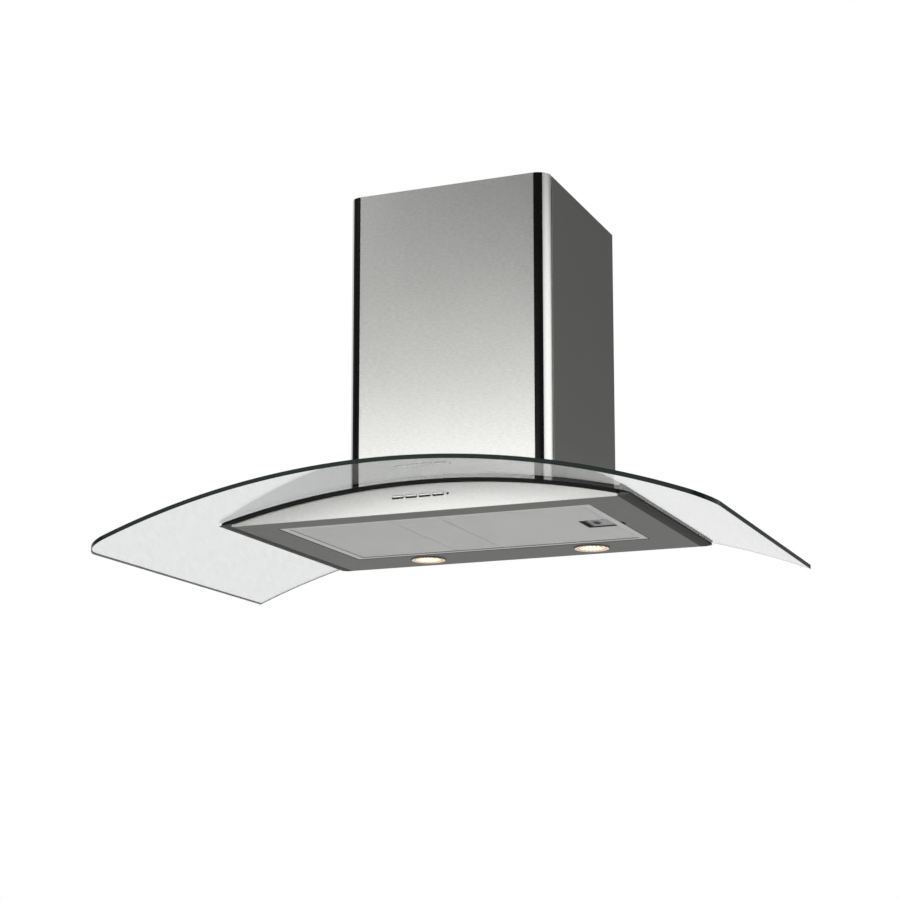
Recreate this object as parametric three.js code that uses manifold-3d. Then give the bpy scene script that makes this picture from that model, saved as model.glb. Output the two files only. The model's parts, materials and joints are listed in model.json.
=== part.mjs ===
// Wall-mounted chimney range hood with a bent glass canopy.
// Millimetres, +Z up, +X to the right, +Y towards the wall, front on -Y.
// Every piece is drawn from the flat underside of the hull (z = 0) and the wall plane (y = 0).
// The last group drops the whole hood, so the origin is the middle of the wall bracket's back face.

import * as THREE from 'three';
import { mergeVertices } from 'three/addons/utils/BufferGeometryUtils.js';
import Module from 'manifold-3d';

// ---- driving dimensions ----

const GAP = 0.3;                 // clearance between pieces that touch
const SHEET = 1.2;               // steel sheet of the hull and the blower casing
const BRACKET_HEIGHT = 225;      // middle of the wall bracket above the underside

const GLASS_WIDTH = 900;
const GLASS_DEPTH = 535;
const GLASS_THICKNESS = 6;
const GLASS_RADIUS = 1190;       // bend radius of the glass underside
const GLASS_RISE = 43.6;         // glass underside above the hull underside, on the centre line
const GLASS_CORNER = 35;         // front corner radius in plan
const GLASS_NOTCH_HALF = 134.5;  // notch in the back edge for the blower casing
const GLASS_NOTCH_DEPTH = 258;

const HULL_HALF = 286;           // half width of the flat underside pan
const HULL_DEPTH = 404.5;        // fascia face to wall
const DECK_OFFSET = -5;          // top of the hull's deck, measured from the glass underside
const RAIL_OFFSET = -2.6;        // top of the side rails, measured the same way
const RAIL_FLAT_HALF = 294.5;    // where the rail's slope begins
const RAIL_TIP_HALF = 303.5;     // outer edge of the rail
const RAIL_NOSE = 4.5;           // how far the rail's pointed nose stands in front of the fascia
const PLATE_Y = [-403, -1.6];    // deck and pan, between the fascia and the rear panel
const DECK_OPENING_HALF = 125;   // opening in the deck for the blower casing
const DECK_OPENING_Y = [-248, -12];
const GASKET_LIP = 6.5;          // gasket overhang in front of the fascia
const GASKET_BAND = 14;          // gasket width behind the fascia
const GASKET_STRIP = 13;         // gasket width along the side rails
const GASKET_CORNER = 12;

const FILTER_X = 234;            // half width of the filter opening
const FILTER_FRONT = -363;
const FILTER_BACK = -90;
const FILTER_CLEARANCE = 1.5;
const FILTER_BOTTOM = 0.4;
const FILTER_TOP = 9.4;
const FILTER_END_BORDER = 11;
const FILTER_SIDE_BORDER = 8;
const FILTER_SEAMS = [-66, 7];   // joints between the filter's mesh panels
const TRAY_WALL = 2;
const TRAY_TOP = 11;
const FILTER_HINGE_X = -226;
const FILTER_HINGE_Z = 5;
const FILTER_ROD_RADIUS = 2.5;
const LATCH_MIDDLE_Y = -224;
const LATCH_HALF = 22;           // half width of the latch plate
const LATCH_X = [187.5, 217.5];
const LATCH_Z = [2.4, 3.6];
const TONGUE_X = [210, 236.5];
const TONGUE_HALF = 8;
const TONGUE_SLOT_HALF = 10;     // half width of the slots that the tongue enters

const LAMP_X = 132.5;
const LAMP_Y = -52;
const LAMP_RIM = 27.2;
const LAMP_HOLE = 24.8;
const LOOM_Y = -52;

const BUTTON_CENTRES = [-29, -8.8, 11.2, 31.1];
const BUTTON_SLOT = [17.6, 20.4, 25.4];    // width, lowest and highest z of the slot
const BUTTON_CAP = [15.8, 21.6, 25];       // width, lowest and highest z of the cap
const PILOT_X = 44.8;
const PILOT_Z = 22.5;

const CHIMNEY_HALF = 154.8;
const CHIMNEY_DEPTH = 304.5;
const CHIMNEY_CORNER = 20;
const CHIMNEY_TOP = 500;
const CHIMNEY_BOTTOM = 20;       // before the foot is cut to the bend of the glass
const CHIMNEY_SHEET = 2;
const FOOT_CLEARANCE = 0.5;      // chimney foot above the glass
const TRIM_ANGLE = 38;           // degrees of each front corner that the dark trim covers
const TRIM_THICKNESS = 0.8;
const SIDE_SHEET = 1;
const SIDE_RETURN = 14;          // width of the side panel's fold along the wall
const SEAM = 3.8;                // open seam between the front cover and the side panels
const UPPER_HALF = 148.6;
const UPPER_DEPTH = 301.2;
const UPPER_CORNER = 14;
const UPPER_BOTTOM = 75;
const UPPER_TOP = 498;

const CASING_HALF = 132;
const CASING_FRONT = -255;
const CASING_BACK = -4.5;
const CASING_BOTTOM = 20;        // before it's cut to the bend of the deck
const CASING_TOP = 263;
const BLOWER_Y = -128;           // impeller axis
const BLOWER_Z = 158;
const VOLUTE_START = 86;         // scroll radius at the tongue
const VOLUTE_END = 120;          // scroll radius where the outlet begins
const VOLUTE_HALF = 60;          // inner half width of the scroll
const VOLUTE_WALL = 2;
const VOLUTE_INLET = 70;         // radius of the air inlets in both cheeks
const OUTLET_BACK = -143;        // back wall of the scroll's outlet
const IMPELLER_RADIUS = 78;
const IMPELLER_HALF = 55;
const BLADE_COUNT = 20;
const SHAFT_RADIUS = 4;
const COLLAR_RADIUS = 75;        // fits a 150 mm duct
const COLLAR_Y = -150;
const COLLAR_BOTTOM = 313;
const COLLAR_TOP = 390;
const FLAP_RADIUS = 69;
const FLAP_Z = 319;              // height of the pin that the non-return flaps turn on
const FLAP_PIN_RADIUS = 1.5;

const HOOK_X = 80;               // the wall bracket's two hooks carry the blower casing
const HOOK_HALF = 14;
const CLAMP_HALF = 150;          // glass clamp frame, round the notch
const CLAMP_FRONT = -276;
const CLAMP_INNER_HALF = 135;
const CLAMP_INNER_FRONT = -259;
const TERMINAL_X = [76, 126];
const TERMINAL_Y = [-118, -46];
const TERMINAL_HEIGHT = 34;
const GLAND_SPOT = [101, CASING_TOP + 18];

const STUD_SPOTS = [[-142, -250], [-142, -140], [-142, -30], [142, -250], [142, -140], [142, -30]];

// ---- materials ----

const STEEL = { color: 0xc9c9c6, roughness: 0.34, metalness: 1 };
const DARK_STEEL = { color: 0x7d7d7b, roughness: 0.42, metalness: 1 };
const GALVANISED = { color: 0xa9adb0, roughness: 0.5, metalness: 1 };
const BLACK_TRIM = { color: 0x0a0a0a, roughness: 0.3, metalness: 0 };
const RUBBER = { color: 0x101010, roughness: 0.8, metalness: 0 };
const GLASS = { color: 0xdfe8e4, roughness: 0.03, metalness: 0, transparent: true, opacity: 0.3 };
const FROSTED = { color: 0xfff0d8, roughness: 0.5, metalness: 0 };
const ALUMINIUM = { color: 0xc4c5c4, roughness: 0.45, metalness: 1 };
const BLACK_PLASTIC = { color: 0x1a1a1b, roughness: 0.5, metalness: 0 };
const WHITE_PLASTIC = { color: 0xd8d8d4, roughness: 0.5, metalness: 0 };
const CERAMIC = { color: 0xe6e0d2, roughness: 0.6, metalness: 0 };
const BOARD = { color: 0x1f5a38, roughness: 0.5, metalness: 0 };
const CHROME = { color: 0xd4d4d4, roughness: 0.12, metalness: 1 };
const PILOT = { color: 0x7a1512, roughness: 0.2, metalness: 0 };

// ---- solid tools ----

const wasm = await Module();
wasm.setup();

function cleanTriangles(geometry) {
  const bare = geometry.clone();
  bare.deleteAttribute('normal');
  bare.deleteAttribute('uv');
  const merged = mergeVertices(bare, 1e-4);
  const position = merged.getAttribute('position');
  const index = merged.getIndex().array;
  const triangles = [];
  let volume = 0;
  const corners = [new THREE.Vector3(), new THREE.Vector3(), new THREE.Vector3()];
  for (let i = 0; i < index.length; i += 3) {
    const [a, b, c] = [index[i], index[i + 1], index[i + 2]];
    if (a === b || b === c || c === a) continue;
    triangles.push([a, b, c]);
    [a, b, c].forEach((vertex, k) => corners[k].fromBufferAttribute(position, vertex));
    volume += corners[0].dot(corners[1].clone().cross(corners[2]));
  }
  const flipped = volume < 0;
  const ordered = triangles.map(([a, b, c]) => (flipped ? [a, c, b] : [a, b, c]));
  return { vertices: new Float32Array(position.array), triangles: new Uint32Array(ordered.flat()) };
}

function solidOf(geometry) {
  const { vertices, triangles } = cleanTriangles(geometry);
  return new wasm.Manifold(new wasm.Mesh({ numProp: 3, vertProperties: vertices, triVerts: triangles }));
}

function geometryOf(solid) {
  const mesh = solid.getMesh();
  const geometry = new THREE.BufferGeometry();
  geometry.setAttribute('position', new THREE.BufferAttribute(mesh.vertProperties, 3));
  geometry.setIndex(new THREE.BufferAttribute(mesh.triVerts, 1));
  geometry.computeVertexNormals();
  return geometry;
}

function join(solids) {
  return solids.reduce((all, next) => all.add(next));
}

function cut(solid, tools) {
  return tools.reduce((rest, tool) => rest.subtract(tool), solid);
}

function spanAbout(middle, half) {
  return [middle - half, middle + half];
}

function shrunk([low, high], amount) {
  return [low + amount, high - amount];
}

function box([x0, x1], [y0, y1], [z0, z1]) {
  const geometry = new THREE.BoxGeometry(x1 - x0, y1 - y0, z1 - z0);
  geometry.translate((x0 + x1) / 2, (y0 + y1) / 2, (z0 + z1) / 2);
  return solidOf(geometry);
}

// A round bar along an axis; the centre is given in the other two coordinates, in X, Y, Z order.
function rod(radius, axis, [from, to], [u, v], segments = 24) {
  const geometry = new THREE.CylinderGeometry(radius, radius, to - from, segments);
  const middle = (from + to) / 2;
  if (axis === 'x') geometry.rotateZ(Math.PI / 2).translate(middle, u, v);
  if (axis === 'y') geometry.translate(u, middle, v);
  if (axis === 'z') geometry.rotateX(Math.PI / 2).translate(u, v, middle);
  return solidOf(geometry);
}

function extrude(points, depth) {
  const shape = new THREE.Shape(points.map(([a, b]) => new THREE.Vector2(a, b)));
  return new THREE.ExtrudeGeometry(shape, { depth, bevelEnabled: false, steps: 1 });
}

// Outline in X and Y, raised along Z.
function prismZ(points, [z0, z1]) {
  return solidOf(extrude(points, z1 - z0).translate(0, 0, z0));
}

// Outline in X and Z, drawn out along Y.
function prismY(points, [y0, y1]) {
  return solidOf(extrude(points, y1 - y0).rotateX(Math.PI / 2).translate(0, y1, 0));
}

// Outline in Y and Z, drawn out along X.
function prismX(points, [x0, x1]) {
  const turn = new THREE.Matrix4().makeBasis(
    new THREE.Vector3(0, 1, 0),
    new THREE.Vector3(0, 0, 1),
    new THREE.Vector3(1, 0, 0),
  );
  return solidOf(extrude(points, x1 - x0).applyMatrix4(turn).translate(x0, 0, 0));
}

// A turned ring or plug: radius and height pairs, about a vertical axis at (x, y).
function turned(profile, [x, y], segments = 26) {
  const onAxis = profile[0][0] === 0 && profile[profile.length - 1][0] === 0;
  const closed = onAxis ? profile : [...profile, profile[0]];
  const points = closed.map(([radius, height]) => new THREE.Vector2(radius, height));
  return solidOf(new THREE.LatheGeometry(points, segments).rotateX(Math.PI / 2).translate(x, y, 0));
}

function arcPoints([x, y], radius, fromDegrees, toDegrees, steps) {
  const points = [];
  for (let i = 0; i <= steps; i += 1) {
    const angle = THREE.MathUtils.degToRad(fromDegrees + ((toDegrees - fromDegrees) * i) / steps);
    points.push([x + radius * Math.cos(angle), y + radius * Math.sin(angle)]);
  }
  return points;
}

// ---- the bend that the glass, gasket, deck and fascia share ----

function archZ(x, offset) {
  return GLASS_RISE - GLASS_RADIUS + Math.sqrt((GLASS_RADIUS + offset) ** 2 - x * x);
}

function archPoints(offset, x0, x1, steps) {
  const points = [];
  for (let i = 0; i <= steps; i += 1) {
    const x = x0 + ((x1 - x0) * i) / steps;
    points.push([x, archZ(x, offset)]);
  }
  return points;
}

function archBand([low, high], [x0, x1], yRange, steps = 32) {
  const lower = archPoints(low, x0, x1, steps);
  const upper = archPoints(high, x0, x1, steps).reverse();
  return prismY([...lower, ...upper], yRange);
}

function belowArch(offset, half) {
  const floor = -200;
  const top = archPoints(offset, -half, half, 32);
  return prismY([[-half, floor], [half, floor], ...top.reverse()], [-600, 50]);
}

// ---- glass and its seal ----

function studHoles(radius) {
  return STUD_SPOTS.map((spot) => rod(radius, 'z', [0, 90], spot, 10));
}

function glassCanopy() {
  const half = GLASS_WIDTH / 2;
  const bend = archBand([0, GLASS_THICKNESS], [-half - 5, half + 5], [-GLASS_DEPTH - 5, 5], 48);
  const corner = GLASS_DEPTH - GLASS_CORNER;
  const plan = [
    [half, 0],
    [-half, 0],
    ...arcPoints([-half + GLASS_CORNER, -corner], GLASS_CORNER, 180, 270, 8),
    ...arcPoints([half - GLASS_CORNER, -corner], GLASS_CORNER, 270, 360, 8),
  ];
  const notch = box([-GLASS_NOTCH_HALF, GLASS_NOTCH_HALF], [-GLASS_NOTCH_DEPTH, 50], [-100, 100]);
  return cut(bend.intersect(prismZ(plan, [-100, 100])), [notch, ...studHoles(4.5)]);
}

function glassGasket() {
  const lip = -HULL_DEPTH - GASKET_LIP;
  const inner = -HULL_DEPTH + GASKET_BAND;
  const sideInner = RAIL_TIP_HALF - GASKET_STRIP;
  const front = archBand([DECK_OFFSET + GAP, -GAP], [-HULL_HALF, HULL_HALF], [lip, inner]);
  const sides = [-1, 1].map((side) => {
    const span = side < 0 ? [-RAIL_TIP_HALF, -sideInner] : [sideInner, RAIL_TIP_HALF];
    return archBand([RAIL_OFFSET + GAP, -GAP], span, [lip, -2], 4);
  });
  const links = [-1, 1].map((side) => {
    const span = side < 0 ? [-sideInner - 1, -HULL_HALF + 1] : [HULL_HALF - 1, sideInner + 1];
    return archBand([RAIL_OFFSET + GAP, -GAP], span, [lip, inner], 2);
  });
  const middle = RAIL_TIP_HALF - GASKET_CORNER;
  const plan = [
    [RAIL_TIP_HALF, 10],
    [-RAIL_TIP_HALF, 10],
    ...arcPoints([-middle, lip + GASKET_CORNER], GASKET_CORNER, 180, 270, 6),
    ...arcPoints([middle, lip + GASKET_CORNER], GASKET_CORNER, 270, 360, 6),
  ];
  return join([front, ...sides, ...links]).intersect(prismZ(plan, [-50, 80]));
}

// ---- hull ----

function topDeck() {
  const shell = archBand([DECK_OFFSET - SHEET, DECK_OFFSET], [-HULL_HALF, HULL_HALF], PLATE_Y);
  const opening = box([-DECK_OPENING_HALF, DECK_OPENING_HALF], DECK_OPENING_Y, [0, 80]);
  return cut(shell, [opening, ...studHoles(3.4)]);
}

function undersidePan() {
  const plate = box([-HULL_HALF, HULL_HALF], PLATE_Y, [0, SHEET]);
  const opening = box([-FILTER_X, FILTER_X], [FILTER_FRONT, FILTER_BACK], [-5, 5]);
  const lampHoles = [-1, 1].map((side) => rod(LAMP_HOLE, 'z', [-5, 5], [side * LAMP_X, LAMP_Y], 28));
  const tongueNotch = box([FILTER_X - 1, FILTER_X + 4], spanAbout(LATCH_MIDDLE_Y, TONGUE_SLOT_HALF), [-5, 5]);
  return cut(plate, [opening, tongueNotch, ...lampHoles]);
}

function archedPlate(yRange) {
  const top = archPoints(DECK_OFFSET, -HULL_HALF, HULL_HALF, 32).reverse();
  return prismY([[-HULL_HALF, 0], [HULL_HALF, 0], ...top], yRange);
}

function frontFascia() {
  const plate = archedPlate([-HULL_DEPTH, -HULL_DEPTH + SHEET]);
  const [width, low, high] = BUTTON_SLOT;
  const through = [-HULL_DEPTH - 5, -HULL_DEPTH + 5];
  const slots = BUTTON_CENTRES.map((x) => box([x - width / 2, x + width / 2], through, [low, high]));
  const pilotHole = rod(1.7, 'y', through, [PILOT_X, PILOT_Z], 16);
  return cut(plate, [...slots, pilotHole]);
}

function rearPanel() {
  return archedPlate([-SHEET, 0]);
}

function sideRail(side) {
  const inner = HULL_HALF + GAP;
  const steps = 4;
  const top = archPoints(RAIL_OFFSET, inner, RAIL_TIP_HALF, steps).reverse();
  const tipZ = archZ(RAIL_TIP_HALF, RAIL_OFFSET) - 0.5;
  const section = [[inner, 0], [RAIL_FLAT_HALF, 0], [RAIL_TIP_HALF, tipZ], ...top];
  const front = -HULL_DEPTH - RAIL_NOSE;
  const bar = prismY(section.map(([x, z]) => [side * x, z]), [front, 0]);
  const beforeNose = [
    [inner - 5, -600],
    [RAIL_TIP_HALF + 5, -600],
    [RAIL_TIP_HALF, front],
    [inner - 1, -HULL_DEPTH],
  ];
  return cut(bar, [prismZ(beforeNose.map(([x, y]) => [side * x, y]), [-20, 40])]);
}

function filterTray() {
  const insideX = [-FILTER_X - 1, FILTER_X + 1];
  const insideY = [FILTER_FRONT - 1, FILTER_BACK + 1];
  const outer = box(shrunk(insideX, -TRAY_WALL), shrunk(insideY, -TRAY_WALL), [SHEET + GAP, TRAY_TOP]);
  const inner = box(insideX, insideY, [-5, 40]);
  const slot = box([FILTER_X - 2, FILTER_X + 5], spanAbout(LATCH_MIDDLE_Y, TONGUE_SLOT_HALF), [0, 5]);
  const pinHole = rod(3, 'y', [FILTER_FRONT - 10, FILTER_BACK + 10], [FILTER_HINGE_X, FILTER_HINGE_Z], 16);
  return cut(outer, [inner, slot, pinHole]);
}

// ---- grease filter ----

const FILTER_SPAN_X = [-FILTER_X + FILTER_CLEARANCE, FILTER_X - FILTER_CLEARANCE];
const FILTER_SPAN_Y = [FILTER_FRONT + FILTER_CLEARANCE, FILTER_BACK - FILTER_CLEARANCE];
const MESH_SPAN_X = [FILTER_SPAN_X[0] + FILTER_END_BORDER, FILTER_SPAN_X[1] - FILTER_END_BORDER];
const MESH_SPAN_Y = [FILTER_SPAN_Y[0] + FILTER_SIDE_BORDER, FILTER_SPAN_Y[1] - FILTER_SIDE_BORDER];
const FILTER_SHEET_Z = [1.4, 3.8];
const POCKET_SPAN_X = [178, MESH_SPAN_X[1] - GAP];
const POCKET_SPAN_Y = spanAbout(LATCH_MIDDLE_Y, 26);

function filterFrame() {
  const outer = box(FILTER_SPAN_X, FILTER_SPAN_Y, [FILTER_BOTTOM, FILTER_TOP]);
  const window = box(MESH_SPAN_X, MESH_SPAN_Y, [-5, 20]);
  const [left, right] = FILTER_SPAN_X;
  const throughEnd = [right - FILTER_END_BORDER - 1, right + 1];
  const tongueSlot = box(throughEnd, spanAbout(LATCH_MIDDLE_Y, 9), [1.9, 4.4]);
  const rodBore = rod(FILTER_ROD_RADIUS + GAP, 'y', [-400, 0], [FILTER_HINGE_X, FILTER_HINGE_Z], 16);
  const relief = box([left - 1, left + 1], [-400, 0], [7.4, 20]);
  return cut(outer, [window, tongueSlot, rodBore, relief]);
}

// One sheet, as heavy as the stack of expanded mesh that it stands for.
function filterMesh() {
  const slab = box(shrunk(MESH_SPAN_X, GAP), shrunk(MESH_SPAN_Y, GAP), FILTER_SHEET_Z);
  const pocketX = [POCKET_SPAN_X[0] - GAP, MESH_SPAN_X[1]];
  const pocketY = [POCKET_SPAN_Y[0] - GAP, POCKET_SPAN_Y[1] + GAP];
  const pocket = box(pocketX, pocketY, [-5, 20]);
  const seams = FILTER_SEAMS.map((x) => box(spanAbout(x, 0.5), [-400, 0], [0, FILTER_SHEET_Z[0] + 0.5]));
  return cut(slab, [pocket, ...seams]);
}

function filterPocket() {
  const wall = 1.5;
  const body = box(POCKET_SPAN_X, POCKET_SPAN_Y, [1.2, 7.6]);
  const hollowX = [POCKET_SPAN_X[0] + wall, MESH_SPAN_X[1] + 5];
  const hollowY = [POCKET_SPAN_Y[0] + wall, POCKET_SPAN_Y[1] - wall];
  return cut(body, [box(hollowX, hollowY, [0, 6.4])]);
}

function filterHingeRod() {
  const [front, back] = FILTER_SPAN_Y;
  return rod(FILTER_ROD_RADIUS, 'y', [front - 4, back + 4], [FILTER_HINGE_X, FILTER_HINGE_Z], 16);
}

function filterLatch() {
  const plate = box(LATCH_X, spanAbout(LATCH_MIDDLE_Y, LATCH_HALF), LATCH_Z);
  const tongue = box(TONGUE_X, spanAbout(LATCH_MIDDLE_Y, TONGUE_HALF), LATCH_Z);
  const gripX = [LATCH_X[0], LATCH_X[0] + 1.5];
  const grip = box(gripX, spanAbout(LATCH_MIDDLE_Y, LATCH_HALF), [LATCH_Z[0] - 1, LATCH_Z[1]]);
  const fingerHole = rod(5.5, 'z', [0, 10], [LATCH_X[0] + 9, LATCH_MIDDLE_Y], 20);
  return cut(join([plate, tongue, grip]), [fingerHole]);
}

// ---- lamps ----

function lampBezel(side) {
  const tube = [[22.4, -1.5], [LAMP_RIM - 0.8, -1.5], [LAMP_RIM, -0.9], [LAMP_RIM, -GAP], [24.4, -GAP]];
  return turned([...tube, [24.4, 9], [23.2, 9], [23.2, 0.9], [22.4, 0.9]], [side * LAMP_X, LAMP_Y]);
}

function lampLens(side) {
  return turned([[0, -1], [21.5, -1], [22.1, -0.5], [22.1, 0.6], [0, 0.6]], [side * LAMP_X, LAMP_Y]);
}

function lampReflector(side) {
  const outer = [[22.6, 1.4], [20.5, 8], [16, 14], [7.5, 18]];
  const inner = [[6.4, 17], [15, 13], [19.3, 7.6], [21.4, 1.4]];
  return turned([...inner, ...outer], [side * LAMP_X, LAMP_Y]);
}

function lampBulb(side) {
  const profile = [[0, 7], [3, 8], [4.4, 10.5], [4.4, 18], [0, 18]];
  return turned(profile, [side * LAMP_X, LAMP_Y], 12);
}

function lampHolder(side) {
  return turned([[0, 18.6], [9, 18.6], [9, 22.5], [7, 24.6], [0, 24.6]], [side * LAMP_X, LAMP_Y], 16);
}

// ---- controls ----

function switchHousing() {
  const block = box([-42, 51], [-402.8, -388], [16, 30]);
  const [width, low, high] = BUTTON_CAP;
  const pockets = BUTTON_CENTRES.map((x) => (
    box(spanAbout(x, width / 2 + 0.4), [-410, -390], [low - 0.4, high + 0.4])
  ));
  const pilotHole = rod(1.8, 'y', [-410, -394], [PILOT_X, PILOT_Z], 16);
  return cut(block, [...pockets, pilotHole]);
}

function pushButton(x) {
  const [width, low, high] = BUTTON_CAP;
  const cap = box(spanAbout(x, width / 2), [-405.2, -393.4], [low, high]);
  const softEdge = prismX(
    [[-406, low - 1], [-404.6, low - 1], [-405.4, low + 0.8], [-406, low + 0.8]],
    spanAbout(x, width),
  );
  return cut(cap, [softEdge]);
}

function pilotLens() {
  return rod(1.35, 'y', [-404.9, -395], [PILOT_X, PILOT_Z], 16);
}

function controlBoard() {
  const board = box([-44, 54], [-387.4, -385.8], [8, 31]);
  const relays = [-30, -8, 14].map((x) => box([x, x + 14], [-386, -375], [10, 24]));
  const plug = box([36, 50], [-386, -378], [10, 18]);
  return join([board, ...relays, plug]);
}

// ---- electrics ----

function lampTransformer() {
  const core = box([-26, 26], [-46, -12], [3.5, 24]);
  const feet = box([-38, 38], [-38, -20], [SHEET + GAP, 3.6]);
  return core.add(feet);
}

function terminalBox() {
  const top = CASING_TOP + TERMINAL_HEIGHT;
  const shell = box(TERMINAL_X, TERMINAL_Y, [CASING_TOP + GAP, top]);
  const hollow = box(shrunk(TERMINAL_X, 2), shrunk(TERMINAL_Y, 2), [CASING_TOP + 2.5, top + 10]);
  const glandHole = rod(7.3, 'y', [-50, -40], GLAND_SPOT, 24);
  return cut(shell, [hollow, glandHole]);
}

function terminalCover() {
  const top = CASING_TOP + TERMINAL_HEIGHT + GAP;
  const lid = box(shrunk(TERMINAL_X, -1), shrunk(TERMINAL_Y, -1), [top, top + 2]);
  const rim = box(shrunk(TERMINAL_X, 2.4), shrunk(TERMINAL_Y, 2.4), [top - 4, top]);
  const rimHollow = box(shrunk(TERMINAL_X, 4), shrunk(TERMINAL_Y, 4), [top - 6, top]);
  return lid.add(rim.subtract(rimHollow));
}

function cableGland() {
  const barrel = rod(7, 'y', [-54, -45.5], GLAND_SPOT, 24);
  const nut = rod(10.5, 'y', [-45.7, -38], GLAND_SPOT, 6);
  const dome = rod(8, 'y', [-38, -31], GLAND_SPOT, 24);
  return cut(join([barrel, nut, dome]), [rod(4, 'y', [-60, -20], GLAND_SPOT, 20)]);
}

function motorCapacitor() {
  const radius = 15;
  const centre = [-CASING_HALF + SHEET + GAP + radius, -40];
  return rod(radius, 'z', [96, 149], centre, 20).add(rod(4, 'z', [148, 154], centre, 10));
}

// The low-voltage loom runs from one lamp holder past the transformer to the other.
function lampLoom() {
  const half = [[0, 6], [45, 7], [80, 9], [106, 15], [122, 21.5]];
  const right = half.map(([x, z]) => new THREE.Vector3(x, LOOM_Y, z));
  const left = half.slice(1).reverse().map(([x, z]) => new THREE.Vector3(-x, LOOM_Y, z));
  const path = new THREE.CatmullRomCurve3([...left, ...right]);
  const outline = arcPoints([0, 0], 1.4, 0, 300, 5).map(([a, b]) => new THREE.Vector2(a, b));
  const settings = { steps: 22, extrudePath: path, bevelEnabled: false };
  return solidOf(new THREE.ExtrudeGeometry(new THREE.Shape(outline), settings));
}

// ---- blower ----

function blowerCasing() {
  const outer = box([-CASING_HALF, CASING_HALF], [CASING_FRONT, CASING_BACK], [CASING_BOTTOM, CASING_TOP]);
  const inner = box(
    [-CASING_HALF + SHEET, CASING_HALF - SHEET],
    [CASING_FRONT + SHEET, CASING_BACK - SHEET],
    [0, CASING_TOP - SHEET],
  );
  const outlet = box([-VOLUTE_HALF, VOLUTE_HALF], [-VOLUTE_END + BLOWER_Y, OUTLET_BACK], [200, 300]);
  const hookSlots = [-HOOK_X, HOOK_X].map((x) => box(spanAbout(x, HOOK_HALF + 3), [-12, 0], [232, 252]));
  return cut(outer, [inner, outlet, belowArch(DECK_OFFSET + GAP, 300), ...hookSlots]);
}

function voluteOutline(extra, top) {
  const steps = 26;
  const [fromAngle, toAngle] = [-10, 270];
  const points = [];
  for (let i = 0; i <= steps; i += 1) {
    const share = i / steps;
    const angle = THREE.MathUtils.degToRad(fromAngle + (toAngle - fromAngle) * share);
    const radius = VOLUTE_START + (VOLUTE_END - VOLUTE_START) * share + extra;
    points.push([BLOWER_Y + radius * Math.sin(angle), BLOWER_Z + radius * Math.cos(angle)]);
  }
  const tongue = points[0];
  return [...points, [BLOWER_Y - VOLUTE_END - extra, top], [tongue[0] + extra, top]];
}

function blowerShell(side) {
  const top = CASING_TOP - SHEET - GAP;
  const half = VOLUTE_HALF + VOLUTE_WALL;
  const outer = prismX(voluteOutline(VOLUTE_WALL, top), [-half, half]);
  const inner = prismX(voluteOutline(0, top + 30), [-VOLUTE_HALF, VOLUTE_HALF]);
  const inlets = rod(VOLUTE_INLET, 'x', [-80, 80], [BLOWER_Y, BLOWER_Z], 28);
  const halfSpace = side < 0 ? [-100, -GAP / 2] : [GAP / 2, 100];
  return cut(outer, [inner, inlets]).intersect(box(halfSpace, [-300, 0], [0, 400]));
}

function impeller() {
  const centre = [BLOWER_Y, BLOWER_Z];
  const rings = [[-IMPELLER_HALF, -IMPELLER_HALF + 3], [IMPELLER_HALF - 3, IMPELLER_HALF]].map((span) => (
    rod(IMPELLER_RADIUS, 'x', span, centre, 32).subtract(rod(64, 'x', [-80, 80], centre, 32))
  ));
  const disc = rod(IMPELLER_RADIUS - 6, 'x', [4, 7], centre, 32);
  const hub = rod(12, 'x', [3, 26], centre, 16);
  const blades = [];
  for (let i = 0; i < BLADE_COUNT; i += 1) {
    const angle = (2 * Math.PI * i) / BLADE_COUNT;
    const blade = new THREE.BoxGeometry(2 * IMPELLER_HALF - 1, 12, 1.2);
    blade.rotateX(0.5);
    blade.translate(0, 70, 0);
    blade.rotateX(angle);
    blade.translate(0, BLOWER_Y, BLOWER_Z);
    blades.push(solidOf(blade));
  }
  const bore = rod(SHAFT_RADIUS + GAP, 'x', [-10, 40], centre, 20);
  return cut(join([disc, hub, ...rings, ...blades]), [bore]);
}

function motorShaft() {
  return rod(SHAFT_RADIUS, 'x', [-46, 30], [BLOWER_Y, BLOWER_Z], 20);
}

function motorBody() {
  const centre = [BLOWER_Y, BLOWER_Z];
  const can = rod(44, 'x', [-60, -8], centre, 28);
  const endBoss = rod(24, 'x', [-66, -59], centre, 20);
  const frontBoss = rod(14, 'x', [-9, -3], centre, 16);
  return cut(join([can, endBoss, frontBoss]), [rod(SHAFT_RADIUS + GAP, 'x', [-50, 10], centre, 20)]);
}

function motorBracket() {
  const centre = [BLOWER_Y, BLOWER_Z];
  const [inner, outer] = [-66.3, -69.3];
  const plate = rod(28, 'x', [outer, inner], centre, 20);
  const arms = [90, 210, 330].map((degrees) => {
    const arm = new THREE.BoxGeometry(3, 62, 12);
    arm.translate((inner + outer) / 2, 51, 0);
    const foot = new THREE.BoxGeometry(7, 9, 12);
    foot.translate(outer + 3.5, 77.5, 0);
    const turn = THREE.MathUtils.degToRad(degrees);
    const place = (piece) => solidOf(piece.rotateX(turn).translate(0, BLOWER_Y, BLOWER_Z));
    return place(arm).add(place(foot));
  });
  return join([plate, ...arms]);
}

// ---- outlet ----

function rectangleRing([x0, x1], [y0, y1], z, steps) {
  const [cx, cy] = [(x0 + x1) / 2, (y0 + y1) / 2];
  const points = [];
  for (let i = 0; i < steps; i += 1) {
    const angle = (2 * Math.PI * i) / steps + Math.PI / 4;
    const [u, v] = [Math.cos(angle), Math.sin(angle)];
    const reach = 1 / Math.max(Math.abs(u), Math.abs(v));
    points.push([cx + u * reach * (x1 - x0) / 2, cy + v * reach * (y1 - y0) / 2, z]);
  }
  return points;
}

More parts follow.
